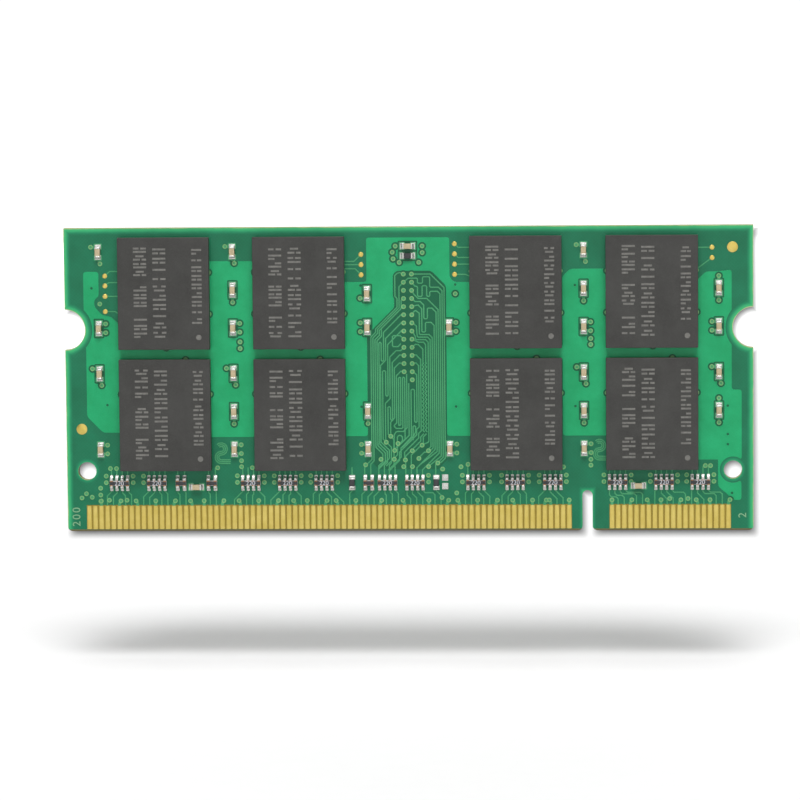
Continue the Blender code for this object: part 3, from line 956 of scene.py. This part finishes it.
# Bare gold test points, each with the place where its track goes under a package.
TEST_POINTS = (
    ((-29.77, 25.3), [(-29.3, 25.75), (-28.2, 25.75)]),
    ((-29.77, 24.33), [(-29.4, 24.65), (-28.2, 24.65)]),
    ((-29.77, 23.3), [(-28.2, 23.3)]),
    ((-29.77, 21.8), [(-28.8, 21.8), (-28.2, 21.4)]),
    ((-4.52, 27.3), [(-5.2, 26.62), (-6.4, 26.62)]),
    ((-4.52, 26.3), [(-6.4, 26.3)]),
    ((-4.52, 25.3), [(-5.1, 25.9), (-6.4, 25.9)]),
    ((4.65, 28.3), [(5.0, 27.95), (6.4, 27.95)]),
    ((4.65, 27.3), [(5.0, 26.95), (6.4, 26.95)]),
    ((4.65, 26.3), [(6.4, 26.3)]),
    ((4.65, 25.3), [(5.7, 25.3), (6.4, 25.0)]),
    ((29.78, 27.83), [(28.2, 27.83)]),
    ((29.78, 26.82), [(28.4, 25.8), (28.2, 25.6)]),
)
TARGETS = ((-32.27, 10.17), (31.77, 27.86))
SWIRLS = ((-18.5, 7.75), (18.75, 8.0))


def pour_vias(passives):
    """The vias that join the capacitors' pads to the copper planes, and the wide copper to them."""
    wide, vias = [], []
    for _, x, z, _, role, outward in passives.values():
        for via in landing_vias(x, z, role, outward) if role else ():
            vias.append(via)
            near = min(0.45, abs(via[1] - z))
            wide.append([(x, z + math.copysign(near, via[1] - z)), via])
    return wide, vias


def around(x, z, halves, turned, corner):
    """A rectangle about a place, from half its width and height as they are before it is turned."""
    across, along = halves[::-1] if turned else halves
    return rectangle(x - across, x + across, z - along, z + along, corner)


def part_pads(passives):
    """The pads of the capacitors and single resistors, and the gap round each part."""
    pads, gaps = [], []
    for _, x, z, turned, _, _ in passives.values():
        gaps.append(around(x, z, GAP_HALVES, turned, 0.12))
        for way in (-PAD_OFFSET, PAD_OFFSET):
            spot = (x + way, z) if turned else (x, z + way)
            pads.append(around(*spot, PAD_HALVES, turned, 0.1))
    return pads, gaps


def all_vias(arrays):
    """Every via but those of the capacitors and the power contacts."""
    vias = []
    for column, count in VIA_COLUMNS:
        vias += [(column, VIA_COLUMN_TOP - VIA_COLUMN_PITCH * i) for i in range(count)]
    lone = [(x, z) for x, heights in LONE_VIAS for z in heights]
    return [*vias, *CENTRE_CLUSTER, *TOP_CLUSTER, *lone, *hidden_vias(), *side_vias(arrays)]


def artwork(side, passives, arrays):
    """The outlines and vias of one side."""
    pads, cuts = part_pads(passives)
    links, link_vias = pour_vias(passives)
    stubs, stub_vias = power_stubs(side)
    vias = all_vias(arrays) + link_vias + stub_vias
    tracks = field_tracks() + escape_tracks(side, arrays)
    for spot in SWIRLS:
        tracks += swirl(*spot)
    tracks += [[spot, *path] for spot, path in TEST_POINTS]
    for x, count in arrays:
        if not -5 < x < 3.5:  # there the tracks of the middle area meet the terminals
            tracks += [[(t, TERMINAL_HIGH), (t, 6.3)] for t in terminal_places(x, count)]
    cuts += ribbons(links, WIDE_TRACK + 2 * MOAT) + ribbons(tracks, TRACK + 2 * MOAT)
    cuts += [disc(*spot, TEST_GAP) for spot, _ in TEST_POINTS]
    cuts += [disc(*spot, TARGET_GAP, 24) for spot in TARGETS]
    cuts += [disc(*spot, MASKED_RADIUS, 10) for spot in MASKED_HOLES]
    cuts += [disc(*via, VIA_GAP) for via in vias]
    over = ribbons(tracks) + ribbons(links + stubs, WIDE_TRACK) + pads
    over += [disc(*via, VIA_PAD, 12) for via in vias]
    return {"pour": pour_outlines(), "cut": cuts, "over": over, "vias": vias}


def hidden_vias():
    """Vias half under the edges of the packages, which leave a dark nick in the pour beside them."""
    vias = []
    for west, east in PACKAGE_SPANS:
        for edge, way in ((west, -1), (east, 1)):
            vias += [(edge - way * 0.12, 21.5), (edge - way * 0.12, 13.6), (edge - way * 0.14, 25.6)]
        vias += [((west + east) / 2 + 0.1, 18.22), ((west + east) / 2 + 2.0, 17.0)]
    return vias


def make_copper(side, art, looks):
    """Copper under mask on one face, and the mask between its edges, painted darker as shade."""
    groups = {"opening": board_openings(), "field": [field_outline()]}
    groups.update({kind: art[kind] for kind in ("pour", "cut", "over")})
    kinds = [kind for kind, outlines in groups.items() for _ in outlines]
    outlines = [outline for group in groups.values() for outline in group]
    flat, triangles, owners = triangulated(outlines, side == "back")
    parts = {"copper": [], "track": [], "gap": []}
    for triangle, owner in zip(triangles, owners):
        found = {kinds[o] for o in owner}
        if "opening" in found or not found & {"over", "pour", "field"}:
            continue
        if "over" in found:
            parts["track"].append(triangle)
        elif "pour" in found and "cut" not in found:
            parts["copper"].append(triangle)
        else:
            parts["gap"].append(triangle)
    shape = bmesh.new()
    for number, (kind, kept) in enumerate(parts.items()):
        layer(shape, flat, kept, 0.0, GAP_HIGH if kind == "gap" else COPPER_HIGH, number)
    put_shape(f"copper_{side}", shape, [looks[kind] for kind in parts], side)


def make_vias(side, vias, looks):
    """Each via: a raised rim under the mask and a dimple where the mask has sunk into the hole."""
    rim = ((0.235, COPPER_HIGH - 0.01), (0.225, 0.045), (0.13, 0.05))
    dimple = ((0.1, 0.03), (0.05, 0.022), (0, 0.02))
    shape = bmesh.new()
    for x, z in vias:
        lathe(shape, as_seen(side, x), z, rim + dimple, 12, (0, 0, 1, 1, 1))
    put_shape(f"vias_{side}", shape, [looks["ring"], looks["track"]], side, angle=60)


def make_gold_points(side, look):
    """Bare gold test points and the two alignment targets."""
    dot = ((0.24, 0.0), (0.24, 0.03), (0.21, 0.045), (0.12, 0.05), (0, 0.045))
    target = ((0.53, 0.0), (0.53, 0.03), (0.49, 0.045), (0, 0.047))
    shape = bmesh.new()
    for (x, z), _ in TEST_POINTS:
        lathe(shape, as_seen(side, x), z, dot, 16)
    for x, z in TARGETS:
        lathe(shape, as_seen(side, x), z, target, 32)
    put_shape(f"gold_points_{side}", shape, [look], side)


def make_contacts(side, gold, bare):
    """Separate gold contacts in an opening of the mask, with rounded upper corners."""
    for row in ("long", "short"):
        node = f"contacts_{side}_{row}"
        low, high = frame_box(node)
        bottom, top = low[2], high[2]
        shape = bmesh.new()
        for x in fingers(side, row):
            seen, half = as_seen(side, x), FINGER_WIDTH / 2
            outer = rectangle(seen - half, seen + half, bottom, top, 0.08)
            half -= FINGER_BEVEL
            inner = rectangle(seen - half, seen + half, bottom + 0.01, top - 0.01, 0.05)
            rings = [(outer, 0.0), (outer, FINGER_HIGH - 0.03), (inner, FINGER_HIGH)]
            loft(shape, [[(u, -height, w) for u, w in ring] for ring, height in rings])
        put_shape(f"gold_{node}", shape, [gold], side, angle=25, replaces=(node,))
        shape = bmesh.new()
        window = rectangle(low[0] - WINDOW_MARGIN, high[0] + WINDOW_MARGIN, bottom, WINDOW_TOP)
        slab(shape, [window], 0.0, WINDOW_HIGH, side == "back")
        put_shape(f"window_{side}_{row}", shape, [bare], side)


# Upright dashes that stand in for printing, by group: how far along a unit cell, from where, to where.
# They all run one way, so that no group of them makes a letter or a digit.
DASHES = (
    ((0.1, 0, 1), (0.75, 0, 0.45)),
    ((0.1, 0.55, 1), (0.75, 0, 1)),
    ((0.1, 0, 0.4), (0.1, 0.6, 1), (0.75, 0, 1)),
    ((0.1, 0, 1), (0.75, 0, 0.4), (0.75, 0.6, 1)),
    ((0.1, 0, 0.3), (0.1, 0.5, 1), (0.75, 0.2, 0.8)),
    ((0.1, 0.1, 0.9), (0.75, 0, 0.3), (0.75, 0.7, 1)),
    ((0.45, 0, 1),),
    ((0.45, 0, 0.38), (0.45, 0.62, 1)),
)


def dash_outlines(group, along, base, wide, tall, stroke=0.19):
    """A group of dashes as outlines. Its line runs upwards, so its own top is to the left."""
    paths = [[(base - v * tall, along + u * wide) for v in (start, end)] for u, start, end in group]
    return ribbons(paths, stroke)


def number_mesh(text, size, height, look, spacing=1.0):
    """Plain digits as a thin raised print."""
    curve = bpy.data.curves.new(f"digits_{text}", "FONT")
    curve.body = text
    curve.size = size * MM
    curve.align_x = curve.align_y = "CENTER"
    curve.space_character = spacing
    curve.extrude = 0.006 * MM
    holder = show("digits", curve)
    mesh = bpy.data.meshes.new_from_object(holder.evaluated_get(bpy.context.evaluated_depsgraph_get()))
    bpy.data.objects.remove(holder)
    mesh.transform(Matrix.Translation((0, -height * MM, 0)) @ Matrix.Rotation(math.pi / 2, 4, "X"))
    mesh.materials.clear()
    mesh.materials.append(look)
    return mesh


def make_numbers(look):
    """The numbers of the first and last contact of each side, read from the side."""
    for text, side, x, z in NUMBERS:
        mesh = number_mesh(text, 1.1, INK_HIGH, look, 1.25)
        put(f"number_{text}", mesh, side, x, z, turn=-math.pi / 2)


# -------------------------------------------------------------------------------------- memory packages


def marking_outlines(rng, width, length):
    """Three lines of marks that read from the bottom up, as outlines about the package's middle."""
    # For each line: its right edge and height across the package, its start, pitch, and its groups.
    lines = (
        (2.82, 1.2, 1.15, 0.76, (3, 3, 4)),
        (4.72, 1.2, 1.15, 0.91, (10,)),
        (8.25, 0.9, 2.5, 0.85, (9,)),
    )
    outlines = []
    for right, tall, start, pitch, groups in lines:
        along = -length / 2 + start
        for group in groups:
            for _ in range(group):
                dashes = DASHES[rng.randrange(len(DASHES))]
                outlines += dash_outlines(dashes, along + 0.08, -width / 2 + right, pitch * 0.66, tall)
                along += pitch
            along += pitch
    return outlines


def mould_mesh(width, length, seam, top, looks):
    """The black body of a package from its seam up, with softened edges and a dimple for pin one."""
    spot = (width / 2 - 1.05, -length / 2 + 1.2)
    shape = bmesh.new()
    rings = []
    for inset, height in ((0.0, seam), (0.0, top - 0.05), (0.015, top - 0.015), (0.05, top)):
        outline = centred(width - 2 * inset, length - 2 * inset, 0.06)
        rings.append([shape.verts.new((u, -height, w)) for u, w in outline])
    shape.faces.new(rings[0])
    for lower, upper in zip(rings, rings[1:]):
        for i in range(len(lower)):
            shape.faces.new((lower[i], lower[i - 1], upper[i - 1], upper[i]))
    slab(shape, [outline], top, top, cuts=[disc(*spot, 0.29, 20)])
    lathe(shape, *spot, ((0.29, top), (0.27, top - 0.015), (0, top - 0.015)), 20, (0, 1))
    bmesh.ops.remove_doubles(shape, verts=shape.verts, dist=1e-4)
    return finish_mesh(shape, "package_mould", [looks["mould"], looks["faint_mark"]], 15)


def carrier_mesh(width, length, bottom, seam, looks):
    """The laminate under the mould, with the bright edge of a copper layer between its plies."""
    shape = bmesh.new()
    first, second = bottom + 0.1, bottom + 0.14
    plies = ((bottom, first, 0.0, 0), (first, second, 0.01, 1), (second, seam, 0.0, 0))
    for low, high, shrink, material in plies:
        size = (width - shrink, high - low, length - shrink)
        block(shape, (0, (low + high) / 2, 0), size, 0.008, material, 1)
    return finish_mesh(shape, "package_carrier", [looks["carrier"], looks["tin"]])


def balls_mesh(bottom, looks):
    """The solder balls between a package and the board, flattened at both ends."""
    foot = ((0.0, 0.0), (0.16, 0.005), (0.215, 0.07))
    head = ((0.225, bottom / 2), (0.2, bottom - 0.06), (0.16, bottom))
    shape = bmesh.new()
    for column in BALL_COLUMNS:
        for row in range(BALL_ROWS):
            z = (row - (BALL_ROWS - 1) / 2) * BALL_PITCH
            lathe(shape, column * BALL_PITCH, z, foot + head, 10)
    return finish_mesh(shape, "package_balls", [looks["tin"]], 80)


def make_packages(looks):
    """The memory packages of both sides, which share all meshes but their markings."""
    nodes = sorted(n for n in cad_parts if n.startswith("memory_package_"))
    low, high = frame_box(next(n for n in nodes if "front" in n))
    width, length, top = high[0] - low[0], high[2] - low[2], abs(low[1]) - BOARD_HALF
    bottom = top - MOULD_TOP
    mould = mould_mesh(width, length, bottom + SUBSTRATE, top, looks)
    carrier = carrier_mesh(width, length, bottom, bottom + SUBSTRATE, looks)
    balls = balls_mesh(bottom, looks)
    rng = random.Random(SEED)
    for node in nodes:
        side = node.split("_")[2]
        x, z = frame_centre(node)
        put(f"mould_{node}", mould, side, x, z, replaces=(node,))
        put(f"carrier_{node}", carrier, side, x, z)
        put(f"balls_{node}", balls, side, x, z)
        shape = bmesh.new()
        slab(shape, marking_outlines(rng, width, length), top - 0.001, top + 0.004)
        look = looks["mark"] if rng.random() < 0.5 else looks["faint_mark"]
        put_shape(f"marking_{node}", shape, [look], side, x, z)


# ------------------------------------------------------------------------------------------- small parts


def solder_wedge(shape, x, inner, outer, half, tall, way, material):
    """A concave fillet of solder from an end cap down to the end of its pad, along up or down."""
    rings = []
    for i in range(5):
        t = i / 4
        z = way * (inner + (outer - inner) * t)
        height = PAD_HIGH * 0.6 + tall * (1 - t) ** 2
        w = half * (1 - 0.12 * t)
        rings.append([(x - w, 0, z), (x + w, 0, z), (x + w * 0.9, -height, z), (x - w * 0.9, -height, z)])
    loft(shape, rings, material)


def two_ended_mesh(name, size, looks, body):
    """A capacitor or single resistor: rounded body, tinned end caps, solder and pads. It stands upright."""
    width, height, length = size
    shape = bmesh.new()
    cap = 0.2
    middle = STAND_OFF + height / 2 + 0.03
    block(shape, (0, middle, 0), (width - 0.04, height - 0.04, length - 0.2), 0.04, 0)
    for way in (-1, 1):
        block(shape, (0, middle, way * (length - cap) / 2), (width, height, cap), 0.07, 1, 3)
        block(shape, (0, PAD_HIGH / 2, way * length / 2), (width + 0.06, PAD_HIGH, 0.44), 0.02, 1)
        solder_wedge(shape, 0, length / 2 - 0.03, length / 2 + 0.17, width / 2 + 0.02, height * 0.65, way, 1)
    return finish_mesh(shape, name, [body, looks["tin"]], 50)


def add_terminal(shape, x, way, width, base, height, half):
    """A wrapped terminal of a resistor array, with its fired edge, pad and solder. Half is the array's."""
    block(shape, (x, base + height / 2, way * (half - 0.12)), (width, height, 0.25), 0.05, 2, 3)
    block(shape, (x, base + height * 0.97, way * (half - 0.29)), (width * 0.85, 0.05, 0.1), 0.015, 3, 1)
    block(shape, (x, PAD_HIGH / 2, way * (half + 0.05)), (width + 0.02, PAD_HIGH, 0.46), 0.02, 2)
    solder_wedge(shape, x, half - 0.03, half + 0.25, width / 2, height * 0.6, way, 2)


def array_mesh(name, count, looks):
    """A resistor array: glazed body on a ceramic tile, with wrapped terminals and solder."""
    low, high = frame_box(f"resistor_{name}_1")
    width, length = high[0] - low[0], high[2] - low[2]
    base, height = STAND_OFF + 0.03, 0.38
    shape = bmesh.new()
    block(shape, (0, base + height * 0.4, 0), (width, height * 0.8, length - 0.5), 0.03, 1)
    block(shape, (0, base + height * 0.86, 0), (width - 0.04, height * 0.2, length - 0.6), 0.03, 0)
    for x in terminal_places(0, count):
        for way in (-1, 1):
            add_terminal(shape, x, way, 0.29 if count == 4 else 0.34, base, height, length / 2)
    return finish_mesh(shape, name, [looks["glaze"], looks["tile"], looks["tin"], looks["fired"]], 50)


def small_part_meshes(looks):
    """The meshes that the small parts of both sides share."""
    return {
        "capacitor": two_ended_mesh("capacitor", (0.55, 0.5, 1.05), looks, looks["ceramic"]),
        "resistor": two_ended_mesh("resistor", (0.55, 0.36, 1.05), looks, looks["glaze"]),
        "array": array_mesh("array", 4, looks),
        "pair": array_mesh("pair", 2, looks),
        "digits": number_mesh("220", 0.62, 0.44, looks["value_ink"]),
    }


def make_passives(side, passives, meshes):
    """Capacitors and single resistors. Only those of the front stand for nodes of the model."""
    tag = "" if side == "front" else "back_"
    for name, (kind, x, z, turned, _, _) in passives.items():
        turn = math.pi / 2 if turned else 0
        node = (name,) if side == "front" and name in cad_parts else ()
        put(f"part_{tag}{name}", meshes[kind], side, x, z, turn, node)


def make_line(side, arrays, meshes):
    """The line of resistor arrays and single resistors above the contacts."""
    tag = "" if side == "front" else "back_"
    line = frame_centre("resistor_array_1")[1]
    resistors = [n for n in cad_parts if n.startswith("resistor_")]
    for x, count in arrays:
        node = next(n for n in resistors if abs(frame_centre(n)[0] - x) < 0.01)
        mesh = meshes[{4: "array", 2: "pair", 1: "resistor"}[count]]
        replaces = (node,) if side == "front" else ()
        put(f"part_{tag}{node}", mesh, side, x, line, replaces=replaces)
        if count == 4:
            put(f"value_{tag}{node}", meshes["digits"], side, x, line)


def make_empty_pads(side, look):
    """Two tinned pads in the line of resistors, with no part on them."""
    shape = bmesh.new()
    for z in (4.43, 5.28):
        block(shape, (as_seen(side, 3.57), PAD_HIGH / 2, z), (0.6, PAD_HIGH, 0.62), 0.02, 0)
    put_shape(f"empty_pads_{side}", shape, [look], side)


def add_chip_body(shape, width, length, top):
    """A mould with sloping sides, and a dimple for pin one."""
    slopes = ((0.12, top - 0.88), (0.0, top - 0.46), (0.0, top - 0.4), (0.1, top - 0.03), (0.14, top))
    rings = [(centred(width - 2 * inset, length - 2 * inset, 0.08), height) for inset, height in slopes]
    loft(shape, [[(u, -height, w) for u, w in outline] for outline, height in rings], 0, smooth=False)
    dimple = ((0.26, top + 0.001), (0.22, top - 0.03), (0, top - 0.03))
    lathe(shape, -width / 2 + 0.55, -length / 2 + 0.55, dimple, 18, (1, 1))


def add_chip_lead(shape, way, z, outer, top):
    """A formed lead: out of the mould, down, and out again on its solder."""
    half, high = CHIP_WIDTH / 2, top - 0.43
    path = [(half - 0.2, high), (half + 0.25, high), (half + 0.42, 0.25), (half + 0.55, 0.1), (outer, 0.09)]
    rings = []
    for i, (u, height) in enumerate(path):
        before, after = path[max(0, i - 1)], path[min(len(path) - 1, i + 1)]
        slope = (Vector(after) - Vector(before)).normalized() * 0.065
        over, under = (u - slope.y, height + slope.x), (u + slope.y, height - slope.x)
        corners = ((over, -0.12), (over, 0.12), (under, 0.12), (under, -0.12))
        rings.append([(way * a, -b, z + aside) for (a, b), aside in corners])
    loft(shape, rings, 0)
    block(shape, (way * (outer - 0.2), 0.03, z), (0.85, 0.06, 0.36), 0.02, 0)


def chip_marks():
    """Three lines of five groups of dashes."""
    rng = random.Random(SEED + 1)
    marks = []
    for line in (-0.9, 0.1, 1.0):
        for i in range(5):
            dashes = DASHES[rng.randrange(len(DASHES))]
            marks += dash_outlines(dashes, -1.6 + i * 0.6, line, 0.38, 0.6, 0.1)
    return marks


def make_chip(looks):
    """The identification chip on the back: bevelled mould, formed leads, solder and a pin-one dimple."""
    node = "identification_chip"
    low, high = frame_box(node)
    x, z = frame_centre(node)
    outer, top = (high[0] - low[0]) / 2, high[1] - BOARD_HALF
    shape = bmesh.new()
    add_chip_body(shape, CHIP_WIDTH, high[2] - low[2], top)
    mould = [looks["mould"], looks["faint_mark"]]
    put_shape("chip_body", shape, mould, "back", x, z, 25, (node,))
    shape = bmesh.new()
    for way in (-1, 1):
        for i in range(4):
            add_chip_lead(shape, way, (i - 1.5) * 0.65, outer, top)
    put_shape("chip_leads", shape, [looks["tin"]], "back", x, z, 40)
    shape = bmesh.new()
    slab(shape, chip_marks(), top - 0.001, top + 0.003)
    put_shape("chip_marking", shape, [looks["faint_mark"]], "back", x, z)


# -------------------------------------------------------------------------------------------- the studio


def make_camera(low, high):
    """A long lens a little above and to the right of the module, as in the photograph."""
    azimuth, elevation, roll = [math.radians(angle) for angle in CAMERA_ANGLES]
    round_and_up = Matrix.Rotation(azimuth, 3, "Z") @ Matrix.Rotation(-elevation, 3, "X")
    back = round_and_up @ Vector((0, -1, 0))
    data = bpy.data.cameras.new("camera")
    data.lens, data.sensor_width = CAMERA_LENS, 36.0
    data.shift_x, data.shift_y = CAMERA_SHIFTS
    data.clip_start, data.clip_end = 0.01, 100
    camera = show("camera", data)
    camera.location = (Vector(low) + Vector(high)) / 2 + back * (CAMERA_DISTANCE * MM)
    turned = (-back).to_track_quat("-Z", "Y").to_matrix() @ Matrix.Rotation(roll, 3, "Z")
    camera.rotation_euler = turned.to_euler()
    bpy.context.scene.camera = camera


def softbox(name, place, power):
    """A wide lamp that faces the middle of the module."""
    data = bpy.data.lights.new(name, "AREA")
    data.shape, data.size, data.size_y, data.energy = "RECTANGLE", 0.6, 0.4, power
    lamp = show(name, data)
    lamp.location = place
    way = Vector((0, 0, BOARD_HEIGHT / 2 * MM)) - Vector(place)
    lamp.rotation_euler = way.to_track_quat("-Z", "Y").to_euler()
    lamp.visible_camera = False


def sun(name, lean, turn, strength, spread):
    """A wide sun that leans this far from straight above towards the front, and turns to one side."""
    data = bpy.data.lights.new(name, "SUN")
    data.energy, data.angle = strength, math.radians(spread)
    show(name, data).rotation_euler = (math.radians(lean), 0, math.radians(turn))


def make_world():
    """White to the camera, and dim as a light."""
    world = bpy.data.worlds.new("studio")
    world.use_nodes = True
    tree = world.node_tree
    seen = tree.nodes.new("ShaderNodeLightPath")
    strength = tree.nodes.new("ShaderNodeMapRange")
    strength.inputs["To Min"].default_value = 0.12
    strength.inputs["To Max"].default_value = 1.05
    tree.links.new(seen.outputs["Is Camera Ray"], strength.inputs["Value"])
    background = tree.nodes["Background"]
    background.inputs["Color"].default_value = (1, 1, 1, 1)
    tree.links.new(strength.outputs["Result"], background.inputs["Strength"])
    bpy.context.scene.world = world


def make_floor():
    """White paper under the module, which hovers above it."""
    shape = bmesh.new()
    bmesh.ops.create_circle(shape, cap_ends=True, segments=96, radius=4000)
    for vertex in shape.verts:
        vertex.co.z = FLOOR
    floor = show("floor", finish_mesh(shape, "floor", [floor_material()]))


def make_edge_shadow():
    """A dark sheet with a painted shadow, in the middle of the board's thickness, so that it shows only
    outside the outline.
    """
    shape = bmesh.new()
    outline = rectangle(-BOARD_WIDTH / 2 - 0.2, BOARD_WIDTH / 2 + 1.2, -1.3, BOARD_HEIGHT - 0.3)
    shape.faces.new([shape.verts.new((x, 0, z)) for x, z in outline])
    sheet = show("edge_shadow", finish_mesh(shape, "edge_shadow", [edge_shadow_material()]))
    sheet.visible_shadow = sheet.visible_diffuse = sheet.visible_glossy = False


def make_studio():
    """Lamps, floor and background. The colours are shown as they are, without a film curve."""
    bpy.context.scene.view_settings.view_transform = "Standard"
    make_world()
    softbox("front_box", (0.05, -0.62, 0.16), 0.95)
    softbox("back_box", (-0.05, 0.62, 0.2), 1.2)
    for settings in SUNS:
        sun(*settings)
    make_floor()
    make_edge_shadow()


# ------------------------------------------------------------------------------------------ the whole scene


# Mask over copper, over tracks, between copper edges (painted darker there than the bare board's mask, as
# shade), and thin over the rims of vias, where the copper shows yellow: its name, deep and pale colour, and
# how far the cloth shows.
MASKS = {
    "copper": ("mask_over_copper", (0.005, 0.255, 0.09), (0.014, 0.37, 0.15), 0.04),
    "track": ("mask_over_track", (0.035, 0.235, 0.095), (0.075, 0.33, 0.15), 0.04),
    # Painted shade: the gaps between copper edges are darker than the board's own mask.
    "gap": ("mask_in_gaps_painted_shade", (0.003, 0.078, 0.034), (0.006, 0.12, 0.053), 0.1),
    "ring": ("mask_over_via", (0.12, 0.30, 0.11), (0.22, 0.43, 0.18), 0.04),
}


def make_looks():
    """The materials of all pieces but the board, by short names."""
    looks = {kind: solder_mask(*mask).material for kind, mask in MASKS.items()}
    return {
        **looks,
        "bare": window_material(),
        "gold": gold_material(),
        "tin": tin_material(),
        "mould": mould_material(),
        "mark": marking_material("laser_marking", (0.15, 0.147, 0.133), (0.33, 0.325, 0.29)),
        "faint_mark": marking_material("faint_laser_marking", (0.10, 0.098, 0.09), (0.22, 0.216, 0.195)),
        "carrier": ceramic_material("package_carrier", (0.03, 0.07, 0.03), (0.07, 0.13, 0.06)),
        "ceramic": ceramic_material("capacitor_ceramic", (0.31, 0.245, 0.13), (0.50, 0.42, 0.27)),
        "glaze": ceramic_material("resistor_glaze", (0.012, 0.012, 0.014), (0.03, 0.03, 0.034)),
        "tile": ceramic_material("resistor_tile", (0.30, 0.30, 0.29), (0.45, 0.45, 0.44)),
        "fired": ceramic_material("fired_electrode", (0.20, 0.09, 0.03), (0.38, 0.18, 0.07)),
        "ink": ceramic_material("mask_print", (0.12, 0.30, 0.15), (0.20, 0.40, 0.22)),
        "value_ink": ceramic_material("value_print", (0.35, 0.37, 0.40), (0.6, 0.62, 0.66)),
    }


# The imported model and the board's size, which the functions above read.
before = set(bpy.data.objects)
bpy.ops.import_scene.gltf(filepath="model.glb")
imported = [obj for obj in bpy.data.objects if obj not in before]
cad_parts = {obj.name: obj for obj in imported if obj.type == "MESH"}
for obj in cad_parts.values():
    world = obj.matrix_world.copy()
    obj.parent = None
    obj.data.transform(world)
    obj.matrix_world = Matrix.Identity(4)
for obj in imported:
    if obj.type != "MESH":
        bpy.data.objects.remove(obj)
cad_low, cad_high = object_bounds()
board_low, board_high = frame_box("circuit_board")
BOARD_HALF = board_high[1]
BOARD_WIDTH = board_high[0] - board_low[0]
BOARD_HEIGHT = board_high[2]


def make_side(side, passives, looks, meshes):
    """All of one side but its packages and numbers."""
    arrays = array_places()
    art = artwork(side, passives, arrays)
    make_copper(side, art, looks)
    make_vias(side, art["vias"], looks)
    make_gold_points(side, looks["gold"])
    make_contacts(side, looks["gold"], looks["bare"])
    make_passives(side, passives, meshes)
    make_line(side, arrays, meshes)
    make_empty_pads(side, looks["tin"])


def main():
    make_camera(cad_low, cad_high)
    looks = make_looks()
    board_look = board_material()
    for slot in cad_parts["circuit_board"].material_slots:
        slot.material = board_look
    meshes = small_part_meshes(looks)
    passives = passive_places()
    for side in SIDES:
        make_side(side, passives, looks, meshes)
    make_packages(looks)
    make_chip(looks)
    make_numbers(looks["ink"])
    make_studio()


main()
